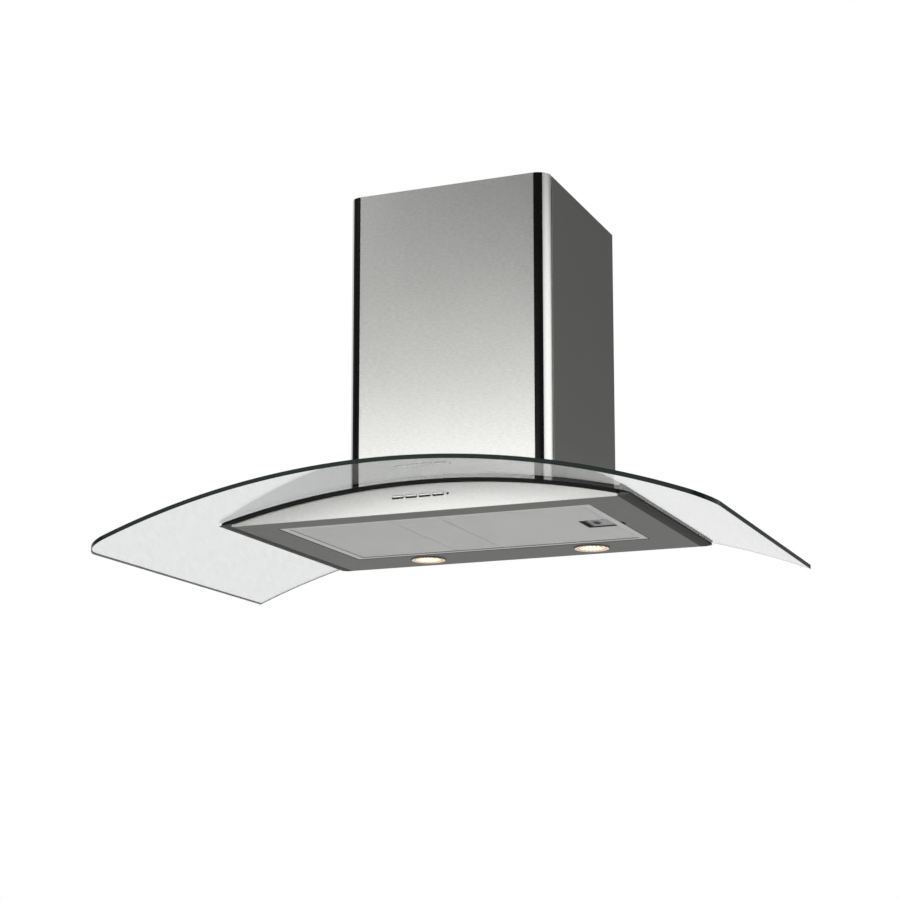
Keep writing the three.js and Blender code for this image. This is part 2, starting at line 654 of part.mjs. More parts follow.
function circleRing(radius, [cx, cy], z, steps) {
  const points = [];
  for (let i = 0; i < steps; i += 1) {
    const angle = (2 * Math.PI * i) / steps + Math.PI / 4;
    points.push([cx + radius * Math.cos(angle), cy + radius * Math.sin(angle), z]);
  }
  return points;
}

function loft(lower, upper) {
  const steps = lower.length;
  const index = [];
  for (let i = 0; i < steps; i += 1) {
    const next = (i + 1) % steps;
    index.push(i, next, steps + next, i, steps + next, steps + i);
  }
  for (let i = 1; i < steps - 1; i += 1) {
    index.push(0, i + 1, i);
    index.push(steps, steps + i, steps + i + 1);
  }
  const geometry = new THREE.BufferGeometry();
  const values = new Float32Array([...lower, ...upper].flat());
  geometry.setAttribute('position', new THREE.BufferAttribute(values, 3));
  geometry.setIndex(index);
  return solidOf(geometry);
}

function outletTransition() {
  const steps = 24;
  const wall = 1.5;
  const [bottom, top] = [CASING_TOP + GAP, COLLAR_BOTTOM - GAP];
  const yRange = [BLOWER_Y - VOLUTE_END, OUTLET_BACK];
  const centre = [0, COLLAR_Y];
  const grown = (amount) => rectangleRing(
    [-VOLUTE_HALF - amount, VOLUTE_HALF + amount],
    [yRange[0] - amount, yRange[1] + amount],
    bottom,
    steps,
  );
  const outer = loft(grown(wall), circleRing(COLLAR_RADIUS - 1, centre, top, steps));
  const low = grown(0).map(([x, y, z]) => [x, y, z - 0.01]);
  const inner = loft(low, circleRing(COLLAR_RADIUS - 1 - wall, centre, top + 0.01, steps));
  return outer.subtract(inner);
}

function outletCollar() {
  const inner = COLLAR_RADIUS - 2.5;
  const profile = [
    [66, COLLAR_BOTTOM], [COLLAR_RADIUS + 3, COLLAR_BOTTOM], [COLLAR_RADIUS + 3, COLLAR_BOTTOM + 2],
    [COLLAR_RADIUS, COLLAR_BOTTOM + 2], [COLLAR_RADIUS, COLLAR_TOP], [inner, COLLAR_TOP],
    [inner, COLLAR_BOTTOM + 2], [66, COLLAR_BOTTOM + 2],
  ];
  const body = turned(profile, [0, COLLAR_Y], 32);
  const reach = COLLAR_RADIUS + 5;
  return cut(body, [rod(FLAP_PIN_RADIUS + GAP, 'y', [COLLAR_Y - reach, COLLAR_Y + reach], [0, FLAP_Z], 12)]);
}

// The two flaps share one pin: the right one has the outer knuckles, the left one the middle knuckle.
const FLAP_KNUCKLES = { left: [[-22, 22]], right: [[-58, -23], [23, 58]] };

function damperFlap(side) {
  const [low, high] = [FLAP_Z - 3.4, FLAP_Z - 2.2];
  const plate = turned([[0, low], [FLAP_RADIUS, low], [FLAP_RADIUS, high], [0, high]], [0, COLLAR_Y], 32);
  const keep = side < 0 ? [-100, -0.6] : [0.6, 100];
  const half = plate.intersect(box(keep, [-300, 0], [250, 400]));
  const [own, other] = side < 0
    ? [FLAP_KNUCKLES.left, FLAP_KNUCKLES.right]
    : [FLAP_KNUCKLES.right, FLAP_KNUCKLES.left];
  const barrel = (radius, spans, extra) => join(spans.map(([from, to]) => (
    rod(radius, 'y', [COLLAR_Y + from - extra, COLLAR_Y + to + extra], [0, FLAP_Z], 20)
  )));
  const bore = rod(FLAP_PIN_RADIUS + GAP, 'y', [COLLAR_Y - 90, COLLAR_Y + 90], [0, FLAP_Z], 16);
  return cut(half, [barrel(3.6, other, 0.5)]).add(barrel(2.9, own, 0)).subtract(bore);
}

function damperPin() {
  const reach = COLLAR_RADIUS - 0.5;
  return rod(FLAP_PIN_RADIUS, 'y', [COLLAR_Y - reach, COLLAR_Y + reach], [0, FLAP_Z], 16);
}

// ---- chimney ----

function chimneyPlan(inset, half, depth, corner) {
  const [x, y, r] = [half - inset, -depth + inset, corner - inset];
  return [
    ...arcPoints([-x + r, y + r], r, 180, 270, 10),
    ...arcPoints([x - r, y + r], r, 270, 360, 10),
    [x, 0],
    [-x, 0],
  ];
}

function chimneyShell(outerPlan, innerPlan, zRange) {
  return prismZ(outerPlan, zRange).subtract(prismZ(innerPlan, [zRange[0] - 5, zRange[1] + 5]));
}

function trimSector(side, [inner, outer], slack) {
  const centre = [CHIMNEY_HALF - CHIMNEY_CORNER, -CHIMNEY_DEPTH + CHIMNEY_CORNER];
  const [from, to] = [270 + slack, 270 + TRIM_ANGLE - slack];
  const points = [
    ...arcPoints(centre, outer, from, to, 6),
    ...arcPoints(centre, inner, from, to, 6).reverse(),
  ];
  return prismZ(points.map(([x, y]) => [side * x, y]), [CHIMNEY_BOTTOM, CHIMNEY_TOP]);
}

function lowerChimneyFront() {
  const plan = (inset) => chimneyPlan(inset, CHIMNEY_HALF, CHIMNEY_DEPTH, CHIMNEY_CORNER);
  const shell = chimneyShell(plan(0), plan(CHIMNEY_SHEET), [CHIMNEY_BOTTOM, CHIMNEY_TOP]);
  const seamY = -CHIMNEY_DEPTH + CHIMNEY_CORNER;
  const behind = box([-200, 200], [seamY, 50], [0, 600]);
  const grooves = [-1, 1].map((side) => (
    trimSector(side, [CHIMNEY_CORNER - TRIM_THICKNESS - GAP, CHIMNEY_CORNER + 3], 0)
  ));
  return cut(shell, [behind, belowArch(GLASS_THICKNESS + FOOT_CLEARANCE, 200), ...grooves]);
}

function chimneyTrim(side) {
  const strip = trimSector(side, [CHIMNEY_CORNER - TRIM_THICKNESS, CHIMNEY_CORNER], 1);
  return cut(strip, [belowArch(GLASS_THICKNESS + FOOT_CLEARANCE, 200)]);
}

function chimneySide(side) {
  const outer = CHIMNEY_HALF - 0.2;
  const inner = outer - SIDE_SHEET;
  const front = -CHIMNEY_DEPTH + CHIMNEY_CORNER + SEAM;
  const lip = [CHIMNEY_HALF - 5.4, CHIMNEY_HALF - 4.6];
  const outline = [
    [outer, -1], [outer, front], [lip[1], front], [lip[1], front - 8], [lip[0], front - 8],
    [lip[0], front + SIDE_SHEET], [inner, front + SIDE_SHEET],
    [inner, -1 - SIDE_SHEET], [inner - SIDE_RETURN, -1 - SIDE_SHEET], [inner - SIDE_RETURN, -1],
  ];
  const panel = prismZ(outline.map(([x, y]) => [side * x, y]), [CHIMNEY_BOTTOM, CHIMNEY_TOP]);
  return cut(panel, [belowArch(GLASS_THICKNESS + FOOT_CLEARANCE, 200)]);
}

function upperChimneyCover() {
  const plan = (inset) => chimneyPlan(inset, UPPER_HALF, UPPER_DEPTH, UPPER_CORNER);
  const shell = chimneyShell(plan(0), plan(SIDE_SHEET), [UPPER_BOTTOM, UPPER_TOP]);
  const flanges = [-1, 1].map((side) => {
    const span = side < 0 ? [-UPPER_HALF + 0.5, -136] : [136, UPPER_HALF - 0.5];
    return box(span, [-4, -3], [UPPER_BOTTOM, UPPER_TOP]);
  });
  const wallGap = box([-200, 200], [-3, 5], [0, 600]);
  return cut(join([shell, ...flanges]), [wallGap]);
}

function upperWallBracket() {
  const [low, high] = [UPPER_TOP - 28, UPPER_TOP - 4];
  const half = CHIMNEY_HALF - SIDE_SHEET - SIDE_RETURN - 0.8;
  const plate = box([-half, half], [-2.6, 0], [low, high]);
  const slots = [-70, 70].map((x) => box(spanAbout(x, 10), [-5, 5], spanAbout((low + high) / 2, 3)));
  return cut(plate, slots);
}

// ---- wall bracket and fasteners ----

function wallBracket() {
  const plate = box([-125, 125], [-3, 0], [BRACKET_HEIGHT - 30, BRACKET_HEIGHT + 30]);
  const hooks = [-HOOK_X, HOOK_X].map((x) => {
    const shelf = box(spanAbout(x, HOOK_HALF), [-9, -2.5], [234, 237]);
    return shelf.add(box(spanAbout(x, HOOK_HALF), [-9, -6.4], [234, 249]));
  });
  const slots = [-105, 105].map((x) => rod(4, 'y', [-5, 5], [x, BRACKET_HEIGHT], 16));
  return cut(join([plate, ...hooks]), slots);
}

// A U-shaped band around the notch, following the bend.
function clampBand([low, high]) {
  const band = archBand([low, high], [-CLAMP_HALF, CLAMP_HALF], [CLAMP_FRONT, -6], 20);
  return band.subtract(box([-CLAMP_INNER_HALF, CLAMP_INNER_HALF], [CLAMP_INNER_FRONT, 50], [0, 90]));
}

// The clamp frame lies on the glass and carries the studs that pull glass, seal and deck together.
function glassClampFrame() {
  const underside = GLASS_THICKNESS + GAP + 0.2;
  const studs = STUD_SPOTS.map(([x, y]) => {
    const z = archZ(x, 0);
    return rod(3, 'z', [z - 13, z + 7.5], [x, y], 8);
  });
  return join([clampBand([underside, underside + 2]), ...studs]);
}

function glassSeatSeal() {
  return cut(clampBand([DECK_OFFSET + GAP, -GAP]), studHoles(3.6));
}

function studNutFrame() {
  const top = DECK_OFFSET - SHEET - GAP;
  return cut(clampBand([top - 3, top]), studHoles(3.3));
}

// ---- assembly ----

const hood = new THREE.Group();
hood.position.set(0, 0, -BRACKET_HEIGHT);

function place(name, solid, finish) {
  const mesh = new THREE.Mesh(geometryOf(solid), new THREE.MeshStandardMaterial(finish));
  mesh.name = name;
  hood.add(mesh);
}

function placePair(name, build, finish) {
  place(`${name}_left`, build(-1), finish);
  place(`${name}_right`, build(1), finish);
}

place('glass_canopy', glassCanopy(), GLASS);
place('glass_gasket', glassGasket(), RUBBER);
place('top_deck', topDeck(), DARK_STEEL);
place('underside_pan', undersidePan(), DARK_STEEL);
place('front_fascia', frontFascia(), STEEL);
place('rear_panel', rearPanel(), GALVANISED);
placePair('side_rail', sideRail, DARK_STEEL);
place('filter_tray', filterTray(), DARK_STEEL);

place('filter_frame', filterFrame(), ALUMINIUM);
place('filter_mesh', filterMesh(), ALUMINIUM);
place('filter_pocket', filterPocket(), ALUMINIUM);
place('filter_hinge_rod', filterHingeRod(), CHROME);
place('filter_latch', filterLatch(), ALUMINIUM);

placePair('lamp_bezel', lampBezel, CHROME);
placePair('lamp_lens', lampLens, FROSTED);
placePair('lamp_reflector', lampReflector, CHROME);
placePair('lamp_bulb', lampBulb, FROSTED);
placePair('lamp_holder', lampHolder, CERAMIC);
place('lamp_loom', lampLoom(), WHITE_PLASTIC);

place('switch_housing', switchHousing(), BLACK_PLASTIC);
BUTTON_CENTRES.forEach((x, i) => place(`button_${i + 1}`, pushButton(x), STEEL));
place('pilot_lens', pilotLens(), PILOT);
place('control_board', controlBoard(), BOARD);
place('lamp_transformer', lampTransformer(), DARK_STEEL);
place('terminal_box', terminalBox(), BLACK_PLASTIC);
place('terminal_cover', terminalCover(), BLACK_PLASTIC);
place('cable_gland', cableGland(), BLACK_PLASTIC);
place('motor_capacitor', motorCapacitor(), WHITE_PLASTIC);

place('blower_casing', blowerCasing(), GALVANISED);
placePair('blower_shell', blowerShell, BLACK_PLASTIC);
place('impeller', impeller(), BLACK_PLASTIC);
place('motor_shaft', motorShaft(), CHROME);
place('motor_body', motorBody(), GALVANISED);
place('motor_bracket', motorBracket(), GALVANISED);
place('outlet_transition', outletTransition(), BLACK_PLASTIC);
place('outlet_collar', outletCollar(), BLACK_PLASTIC);
placePair('damper_flap', damperFlap, BLACK_PLASTIC);
place('damper_pin', damperPin(), CHROME);

place('lower_chimney_front', lowerChimneyFront(), STEEL);
placePair('chimney_trim', chimneyTrim, BLACK_TRIM);
placePair('chimney_side', chimneySide, STEEL);
place('upper_chimney_cover', upperChimneyCover(), STEEL);
place('upper_wall_bracket', upperWallBracket(), GALVANISED);

place('wall_bracket', wallBracket(), GALVANISED);
place('glass_clamp_frame', glassClampFrame(), GALVANISED);
place('glass_seat_seal', glassSeatSeal(), RUBBER);
place('stud_nut_frame', studNutFrame(), GALVANISED);

export default hood;
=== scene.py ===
"""Wall-mounted chimney hood with a bent glass canopy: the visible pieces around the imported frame."""

import json
import math

import bmesh
import bpy
from bpy.props import FloatProperty, FloatVectorProperty, PointerProperty
from bpy.types import Operator, Panel, PropertyGroup
from mathutils import Matrix, Vector


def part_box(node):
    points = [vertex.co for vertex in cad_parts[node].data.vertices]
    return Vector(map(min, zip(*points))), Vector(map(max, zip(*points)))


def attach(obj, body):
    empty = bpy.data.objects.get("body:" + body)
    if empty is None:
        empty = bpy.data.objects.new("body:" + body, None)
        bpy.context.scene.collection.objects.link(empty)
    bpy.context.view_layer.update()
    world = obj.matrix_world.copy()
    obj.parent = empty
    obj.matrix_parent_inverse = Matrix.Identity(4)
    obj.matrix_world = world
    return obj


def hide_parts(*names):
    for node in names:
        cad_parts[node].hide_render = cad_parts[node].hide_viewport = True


bl_info = {
    "name": "Chimney hood with glass canopy",
    "version": (1, 0, 0),
    "blender": (4, 5, 0),
    "location": "View3D > Sidebar > Hood",
    "description": "Builds the canopy, hull, filter, lamps, controls and chimney of a cooker hood",
    "category": "Add Mesh",
}

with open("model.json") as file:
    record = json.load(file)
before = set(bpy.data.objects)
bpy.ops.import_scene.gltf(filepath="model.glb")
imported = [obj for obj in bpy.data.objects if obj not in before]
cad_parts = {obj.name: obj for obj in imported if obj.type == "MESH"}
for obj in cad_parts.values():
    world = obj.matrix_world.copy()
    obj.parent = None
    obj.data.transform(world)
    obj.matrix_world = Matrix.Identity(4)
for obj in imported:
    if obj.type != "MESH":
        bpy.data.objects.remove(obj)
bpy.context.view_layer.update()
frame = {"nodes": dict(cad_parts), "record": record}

MM = 0.001

# ---- places that the frame gives ----

GLASS_LOW, GLASS_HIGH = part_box("glass_canopy")
SEAL_LOW, SEAL_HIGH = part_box("glass_gasket")
FASCIA_LOW, FASCIA_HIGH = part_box("front_fascia")
PAN_LOW, PAN_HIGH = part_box("underside_pan")
COVER_LOW, COVER_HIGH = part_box("lower_chimney_front")
UPPER_LOW, UPPER_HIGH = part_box("upper_chimney_cover")
UNDERSIDE = PAN_LOW.z

GLASS_THICKNESS = 6 * MM
GLASS_RADIUS = 1190 * MM
GLASS_TOP = GLASS_HIGH.z
GLASS_CORNER = 35 * MM
NOTCH_HALF = 134.5 * MM  # notch in the back edge of the glass
NOTCH_DEPTH = 258 * MM
DECK_TOP = -5 * MM  # offset of the hull's curved top from the glass underside
DECK_UNDERSIDE = -6.2 * MM
TONGUE_SLOT_HALF = 10 * MM  # half width of the slot beside the filter opening
LAMP_HOLE = 24.8 * MM
LAMP_RIM = 25.6 * MM  # where the lamp ring's dark rim begins


def bend_height(x, offset):
    """Height of the bent glass underside at x, moved out by offset along its radius."""
    middle = GLASS_TOP - GLASS_THICKNESS - GLASS_RADIUS
    return middle + math.sqrt((GLASS_RADIUS + offset) ** 2 - x * x)


# ---- settings that a user would change ----


class HoodSteelSettings(PropertyGroup):
    """Finish of the brushed and plain steel."""

    brushed_colour: FloatVectorProperty(
        name="Brushed steel", description="Colour of the bright brushed steel",
        subtype="COLOR", size=3, default=(0.6, 0.6, 0.582), min=0, max=1)
    hull_colour: FloatVectorProperty(
        name="Hull steel", description="Colour of the darker satin steel of the hull",
        subtype="COLOR", size=3, default=(0.13, 0.13, 0.125), min=0, max=1)
    grain_depth: FloatProperty(
        name="Grain depth", description="How deep the brushing is", unit="LENGTH",
        default=0.0015 * MM, min=0, max=1 * MM)
    edge_radius: FloatProperty(
        name="Edge radius", description="Rounding of sheet edges", unit="LENGTH",
        default=0.35 * MM, min=0.05 * MM, max=2 * MM)


class HoodCanopySettings(PropertyGroup):
    """The bent glass and its seal."""

    tint: FloatVectorProperty(
        name="Glass tint", description="Colour that the glass gives to what shows through it",
        subtype="COLOR", size=3, default=(0.78, 0.795, 0.79), min=0, max=1)
    edge_colour: FloatVectorProperty(
        name="Edge colour", description="Colour of the polished edge",
        subtype="COLOR", size=3, default=(0.004, 0.010, 0.008), min=0, max=1)
    edge_polish: FloatProperty(
        name="Edge rounding", description="Rounding of the polished edge", unit="LENGTH",
        default=0.9 * MM, min=0.2 * MM, max=2.8 * MM)


class HoodFilterSettings(PropertyGroup):
    """The grease filter's expanded mesh."""

    strand_pitch: FloatProperty(
        name="Strand pitch", description="Distance between two strands of the face mesh",
        unit="LENGTH", default=3.6 * MM, min=1 * MM, max=20 * MM)
    strand_width: FloatProperty(
        name="Strand width", description="Width of a strand", unit="LENGTH",
        default=1.5 * MM, min=0.2 * MM, max=4 * MM)
    strand_angle: FloatProperty(
        name="Strand angle", description="Angle of the strands to the filter's long side",
        subtype="ANGLE", default=math.radians(28), min=0.1, max=1.5)


class HoodLampSettings(PropertyGroup):
    """The two spot lamps and the pilot light."""

    glow: FloatProperty(
        name="Glow", description="Brightness of the lamp glass", default=1.0, min=0, max=20)
    glow_colour: FloatVectorProperty(
        name="Glow colour", description="Colour towards the rim of the lamp glass",
        subtype="COLOR", size=3, default=(1.0, 0.60, 0.34), min=0, max=1)


class HoodStageSettings(PropertyGroup):
    """Floor and lights."""

    floor_drop: FloatProperty(
        name="Floor drop", description="Height of the hood's underside above the floor",
        unit="LENGTH", default=1.6, min=0.2, max=4)
    backdrop: FloatProperty(
        name="Backdrop", description="Brightness of the backdrop", default=1.0, min=0, max=5)


# ---- mesh tools ----


def mesh_object(name, bm, materials, smooth_angle=30.0):
    """Makes an object from a bmesh, shaded smooth up to an angle in degrees."""
    bmesh.ops.recalc_face_normals(bm, faces=bm.faces)
    mesh = bpy.data.meshes.new(name)
    bm.to_mesh(mesh)
    bm.free()
    return dress(name, mesh, materials, smooth_angle)


def dress(name, mesh, materials, smooth_angle=30.0):
    """Links a mesh as an object with its materials and smooth shading."""
    for material in materials:
        mesh.materials.append(material)
    mesh.shade_smooth()
    mesh.set_sharp_from_angle(angle=math.radians(smooth_angle))
    obj = bpy.data.objects.new(name, mesh)
    bpy.context.scene.collection.objects.link(obj)
    return obj


def round_edges(obj, width, segments=2, angle=40.0, material=-1):
    """Rounds an object's sharp edges with a bevel that keeps flat faces flat."""
    bevel = obj.modifiers.new("edge_rounding", "BEVEL")
    bevel.width = width
    bevel.segments = segments
    bevel.limit_method = "ANGLE"
    bevel.angle_limit = math.radians(angle)
    bevel.harden_normals = True
    bevel.use_clamp_overlap = True
    bevel.material = material
    return obj


def settle(obj, body, slot, *nodes):
    """Rides a finished piece on its body, and hides the nodes that it replaces. The slot argument is not used."""
    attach(obj, body)
    if nodes:
        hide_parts(*nodes)
    return obj


def span(start, end, steps):
    """Evenly spaced values from start to end, both included."""
    return [start + (end - start) * i / steps for i in range(steps + 1)]


def mirror_back(points):
    """Plan points mirrored in x and in reverse order, so that they lead up to the given ones."""
    return [(-x, y) for x, y in reversed(points)]


def rounded_front(x, half, front, corner):
    """Front edge in plan of a sheet half wide to each side, with round corners."""
    past = max(0.0, abs(x) - (half - corner))
    return front + corner - math.sqrt(max(0.0, corner ** 2 - past ** 2))


def corner_columns(half, corner, steps):
    """Column places over a round corner."""
    return [half - corner + corner * math.sin(math.radians(a)) for a in span(0, 90, steps)]


def arc(centre, radius, start, end, steps):
    """Points of a plane arc, with its angles in degrees."""
    return [
        (centre[0] + radius * math.cos(math.radians(a)), centre[1] + radius * math.sin(math.radians(a)))
        for a in span(start, end, steps)
    ]


def bent_slab(columns, rows, low, high, solid=lambda x, row: True):
    """A closed slab over a grid. rows are functions of x that give y; low and high give z."""
    bm = bmesh.new()
    sheets = [
        [[bm.verts.new((x, row(x), height(x))) for row in rows] for x in columns]
        for height in (low, high)
    ]
    last_column, last_row = len(columns) - 1, len(rows) - 1
    kept = [
        [solid((columns[i] + columns[i + 1]) / 2, j) for j in range(last_row)]
        for i in range(last_column)
    ]

    def filled(i, j):
        return 0 <= i < last_column and 0 <= j < last_row and kept[i][j]

    for i in range(last_column):
        for j in range(last_row):
            if not kept[i][j]:
                continue
            corners = [(i, j), (i + 1, j), (i + 1, j + 1), (i, j + 1)]
            for sheet in sheets:
                bm.faces.new([sheet[a][b] for a, b in corners])
            beside = [(i, j - 1), (i + 1, j), (i, j + 1), (i - 1, j)]
            for k, neighbour in enumerate(beside):
                if not filled(*neighbour):
                    (a, b), (c, d) = corners[k], corners[(k + 1) % 4]
                    bm.faces.new([sheets[0][a][b], sheets[0][c][d], sheets[1][c][d], sheets[1][a][b]])
    loose = [vert for vert in bm.verts if not vert.link_faces]
    bmesh.ops.delete(bm, geom=loose, context="VERTS")
    return bm


def loft_rings(bm, rings, closed_path=False):
    """Joins rings of points, all with as many points, into a closed skin."""
    made = [[bm.verts.new(point) for point in ring] for ring in rings]
    pairs = list(zip(made, made[1:] + made[:1] if closed_path else made[1:]))
    for first, second in pairs:
        for k in range(len(first)):
            n = (k + 1) % len(first)
            bm.faces.new([first[k], first[n], second[n], second[k]])
    if not closed_path:
        bm.faces.new(made[0])
        bm.faces.new(made[-1])
    return bm


def lathe(bm, profile, centre, segments=64):
    """Turns a closed profile of (radius, height) pairs round a vertical axis through centre."""
    rings = []
    for step in range(segments):
        angle = 2 * math.pi * step / segments
        ring = [Vector((r * math.cos(angle), r * math.sin(angle), h)) for r, h in profile]
        rings.append([p + Vector(centre) for p in ring])
    return loft_rings(bm, rings, closed_path=True)


def disc(bm, profile, centre, segments=64):
    """Turns an open profile whose ends lie on the axis into a closed solid."""
    poles = [bm.verts.new(Vector(centre) + Vector((0, 0, profile[k][1]))) for k in (0, -1)]
    rings = [
        [
            bm.verts.new(Vector(centre) + Vector((
                r * math.cos(2 * math.pi * s / segments), r * math.sin(2 * math.pi * s / segments), h)))
            for s in range(segments)
        ]
        for r, h in profile[1:-1]
    ]
    for s in range(segments):
        n = (s + 1) % segments
        bm.faces.new([poles[0], rings[0][n], rings[0][s]])
        bm.faces.new([poles[1], rings[-1][s], rings[-1][n]])
        for first, second in zip(rings, rings[1:]):
            bm.faces.new([first[s], first[n], second[n], second[s]])
    return bm


def cut_plate(name, loops, thickness, place, materials, edge=0.3 * MM):
    """A flat plate with holes and rounded edges: the first loop is its outline, the others its holes."""
    curve = bpy.data.curves.new(name, "CURVE")
    curve.dimensions = "2D"
    curve.fill_mode = "BOTH"
    curve.extrude = thickness / 2 - edge
    curve.bevel_depth = edge
    curve.bevel_resolution = 2
    curve.offset = -edge
    for loop in loops:
        spline = curve.splines.new("POLY")
        spline.points.add(len(loop) - 1)
        for point, (a, b) in zip(spline.points, loop):
            point.co = (a, b, 0, 1)
        spline.use_cyclic_u = True
    holder = bpy.data.objects.new(name + "_outline", curve)
    bpy.context.scene.collection.objects.link(holder)
    graph = bpy.context.evaluated_depsgraph_get()
    mesh = bpy.data.meshes.new_from_object(holder.evaluated_get(graph))
    mesh.name = name
    bpy.data.objects.remove(holder)
    bpy.data.curves.remove(curve)
    bm = bmesh.new()
    bm.from_mesh(mesh)
    bmesh.ops.remove_doubles(bm, verts=bm.verts, dist=0.01 * MM)
    bmesh.ops.transform(bm, matrix=place, verts=bm.verts)
    bmesh.ops.recalc_face_normals(bm, faces=bm.faces)
    bm.to_mesh(mesh)
    bm.free()
    mesh.materials.clear()
    return dress(name, mesh, materials, 8.0)


def rounded_rectangle(low, high, radius, steps=6):
    """Outline of a rectangle with round corners, anticlockwise."""
    (x0, y0), (x1, y1) = low, high
    return [
        *arc((x1 - radius, y0 + radius), radius, -90, 0, steps),
        *arc((x1 - radius, y1 - radius), radius, 0, 90, steps),
        *arc((x0 + radius, y1 - radius), radius, 90, 180, steps),
        *arc((x0 + radius, y0 + radius), radius, 180, 270, steps),
    ]


def add_box(bm, low, high):
    """Adds a box between two corners."""
    size = Vector(high) - Vector(low)
    middle = (Vector(high) + Vector(low)) / 2
    for vert in bmesh.ops.create_cube(bm, size=1.0)["verts"]:
        vert.co = vert.co * size + middle


def upright_sheet(outer, inner, low, high):
    """A folded sheet that stands upright: outer and inner are its plan, low gives its foot at x."""
    return loft_rings(bmesh.new(), [
        [(ox, oy, low(ox)), (ox, oy, high), (ix, iy, high), (ix, iy, low(ix))]
        for (ox, oy), (ix, iy) in zip(outer, inner)
    ])


# ---- shader groups ----


def finish_group(name, inputs):
    """A shader node group that puts out a finish. Gives its tree, its inputs by name and its last node."""
    tree = bpy.data.node_groups.new(name, "ShaderNodeTree")
    for label, kind, default in inputs:
        socket = tree.interface.new_socket(label, in_out="INPUT", socket_type=f"NodeSocket{kind}")
        socket.default_value = default
    for label, kind in (("Colour", "Color"), ("Roughness", "Float"), ("Height", "Float")):
        tree.interface.new_socket(label, in_out="OUTPUT", socket_type=f"NodeSocket{kind}")
    given = tree.nodes.new("NodeGroupInput").outputs
    return tree, given, tree.nodes.new("NodeGroupOutput")


def feed(tree, socket, value):
    """Links another node's output to a socket, or sets the socket to a plain value."""
    if isinstance(value, bpy.types.NodeSocket):
        tree.links.new(value, socket)
    else:
        socket.default_value = value


def add_noise(tree, vector, scale, detail=3.0, roughness=0.55):
    noise = tree.nodes.new("ShaderNodeTexNoise")
    noise.inputs["Scale"].default_value = scale
    noise.inputs["Detail"].default_value = detail
    noise.inputs["Roughness"].default_value = roughness
    tree.links.new(vector, noise.inputs["Vector"])
    return noise.outputs["Fac"]


def add_math(tree, operation, first, second, clamp=False):
    node = tree.nodes.new("ShaderNodeMath")
    node.operation = operation
    node.use_clamp = clamp
    feed(tree, node.inputs[0], first)
    feed(tree, node.inputs[1], second)
    return node.outputs[0]


def add_sum(tree, first, share, second, other_share):
    """The sum of two values, each multiplied by its share."""
    parts = [add_math(tree, "MULTIPLY", *pair) for pair in ((first, share), (second, other_share))]
    return add_math(tree, "ADD", *parts)


def add_range(tree, value, low, high, to_low, to_high):
    node = tree.nodes.new("ShaderNodeMapRange")
    labels = ("Value", "From Min", "From Max", "To Min", "To Max")
    for label, number in zip(labels, (value, low, high, to_low, to_high)):
        feed(tree, node.inputs[label], number)
    return node.outputs["Result"]


def add_mix(tree, factor, first, second):
    """A blend of two colours."""
    node = tree.nodes.new("ShaderNodeMix")
    node.data_type = "RGBA"
    feed(tree, node.inputs["Factor"], factor)
    feed(tree, node.inputs[6], first)
    feed(tree, node.inputs[7], second)
    return node.outputs[2]


def add_stretch(tree, vector, factors):
    """A vector multiplied by a factor along each axis."""
    node = tree.nodes.new("ShaderNodeVectorMath")
    node.operation = "MULTIPLY"
    feed(tree, node.inputs[0], vector)
    feed(tree, node.inputs[1], factors)
    return node.outputs[0]


def object_coordinates(tree):
    return tree.nodes.new("ShaderNodeTexCoord").outputs["Object"]


def build_brushing_group():
    """Long fine scratches along one direction, with cloudy handling marks."""
    tree, given, result = finish_group("brushing", [
        ("Stretch", "Vector", (8, 900, 900)),
        ("Dark", "Color", (0.5, 0.5, 0.5, 1)),
        ("Light", "Color", (0.7, 0.7, 0.7, 1)),
        ("Smooth", "Float", 0.25),
        ("Rough", "Float", 0.4),
    ])
    place = object_coordinates(tree)
    stretched = add_stretch(tree, place, given["Stretch"])
    coarse = add_noise(tree, stretched, 1.0, 4.0, 0.6)
    fine = add_noise(tree, stretched, 2.7, 5.0, 0.75)
    cloud = add_noise(tree, place, 9.0, 3.0, 0.5)
    scratches = add_sum(tree, coarse, 0.45, fine, 0.55)
    contrast = add_range(tree, scratches, 0.32, 0.68, 0.0, 1.0)
    tone = add_sum(tree, contrast, 0.8, cloud, 0.2)
    feed(tree, result.inputs["Colour"], add_mix(tree, tone, given["Dark"], given["Light"]))
    feed(tree, result.inputs["Roughness"], add_range(tree, tone, 0.2, 0.8, given["Smooth"], given["Rough"]))
    feed(tree, result.inputs["Height"], scratches)


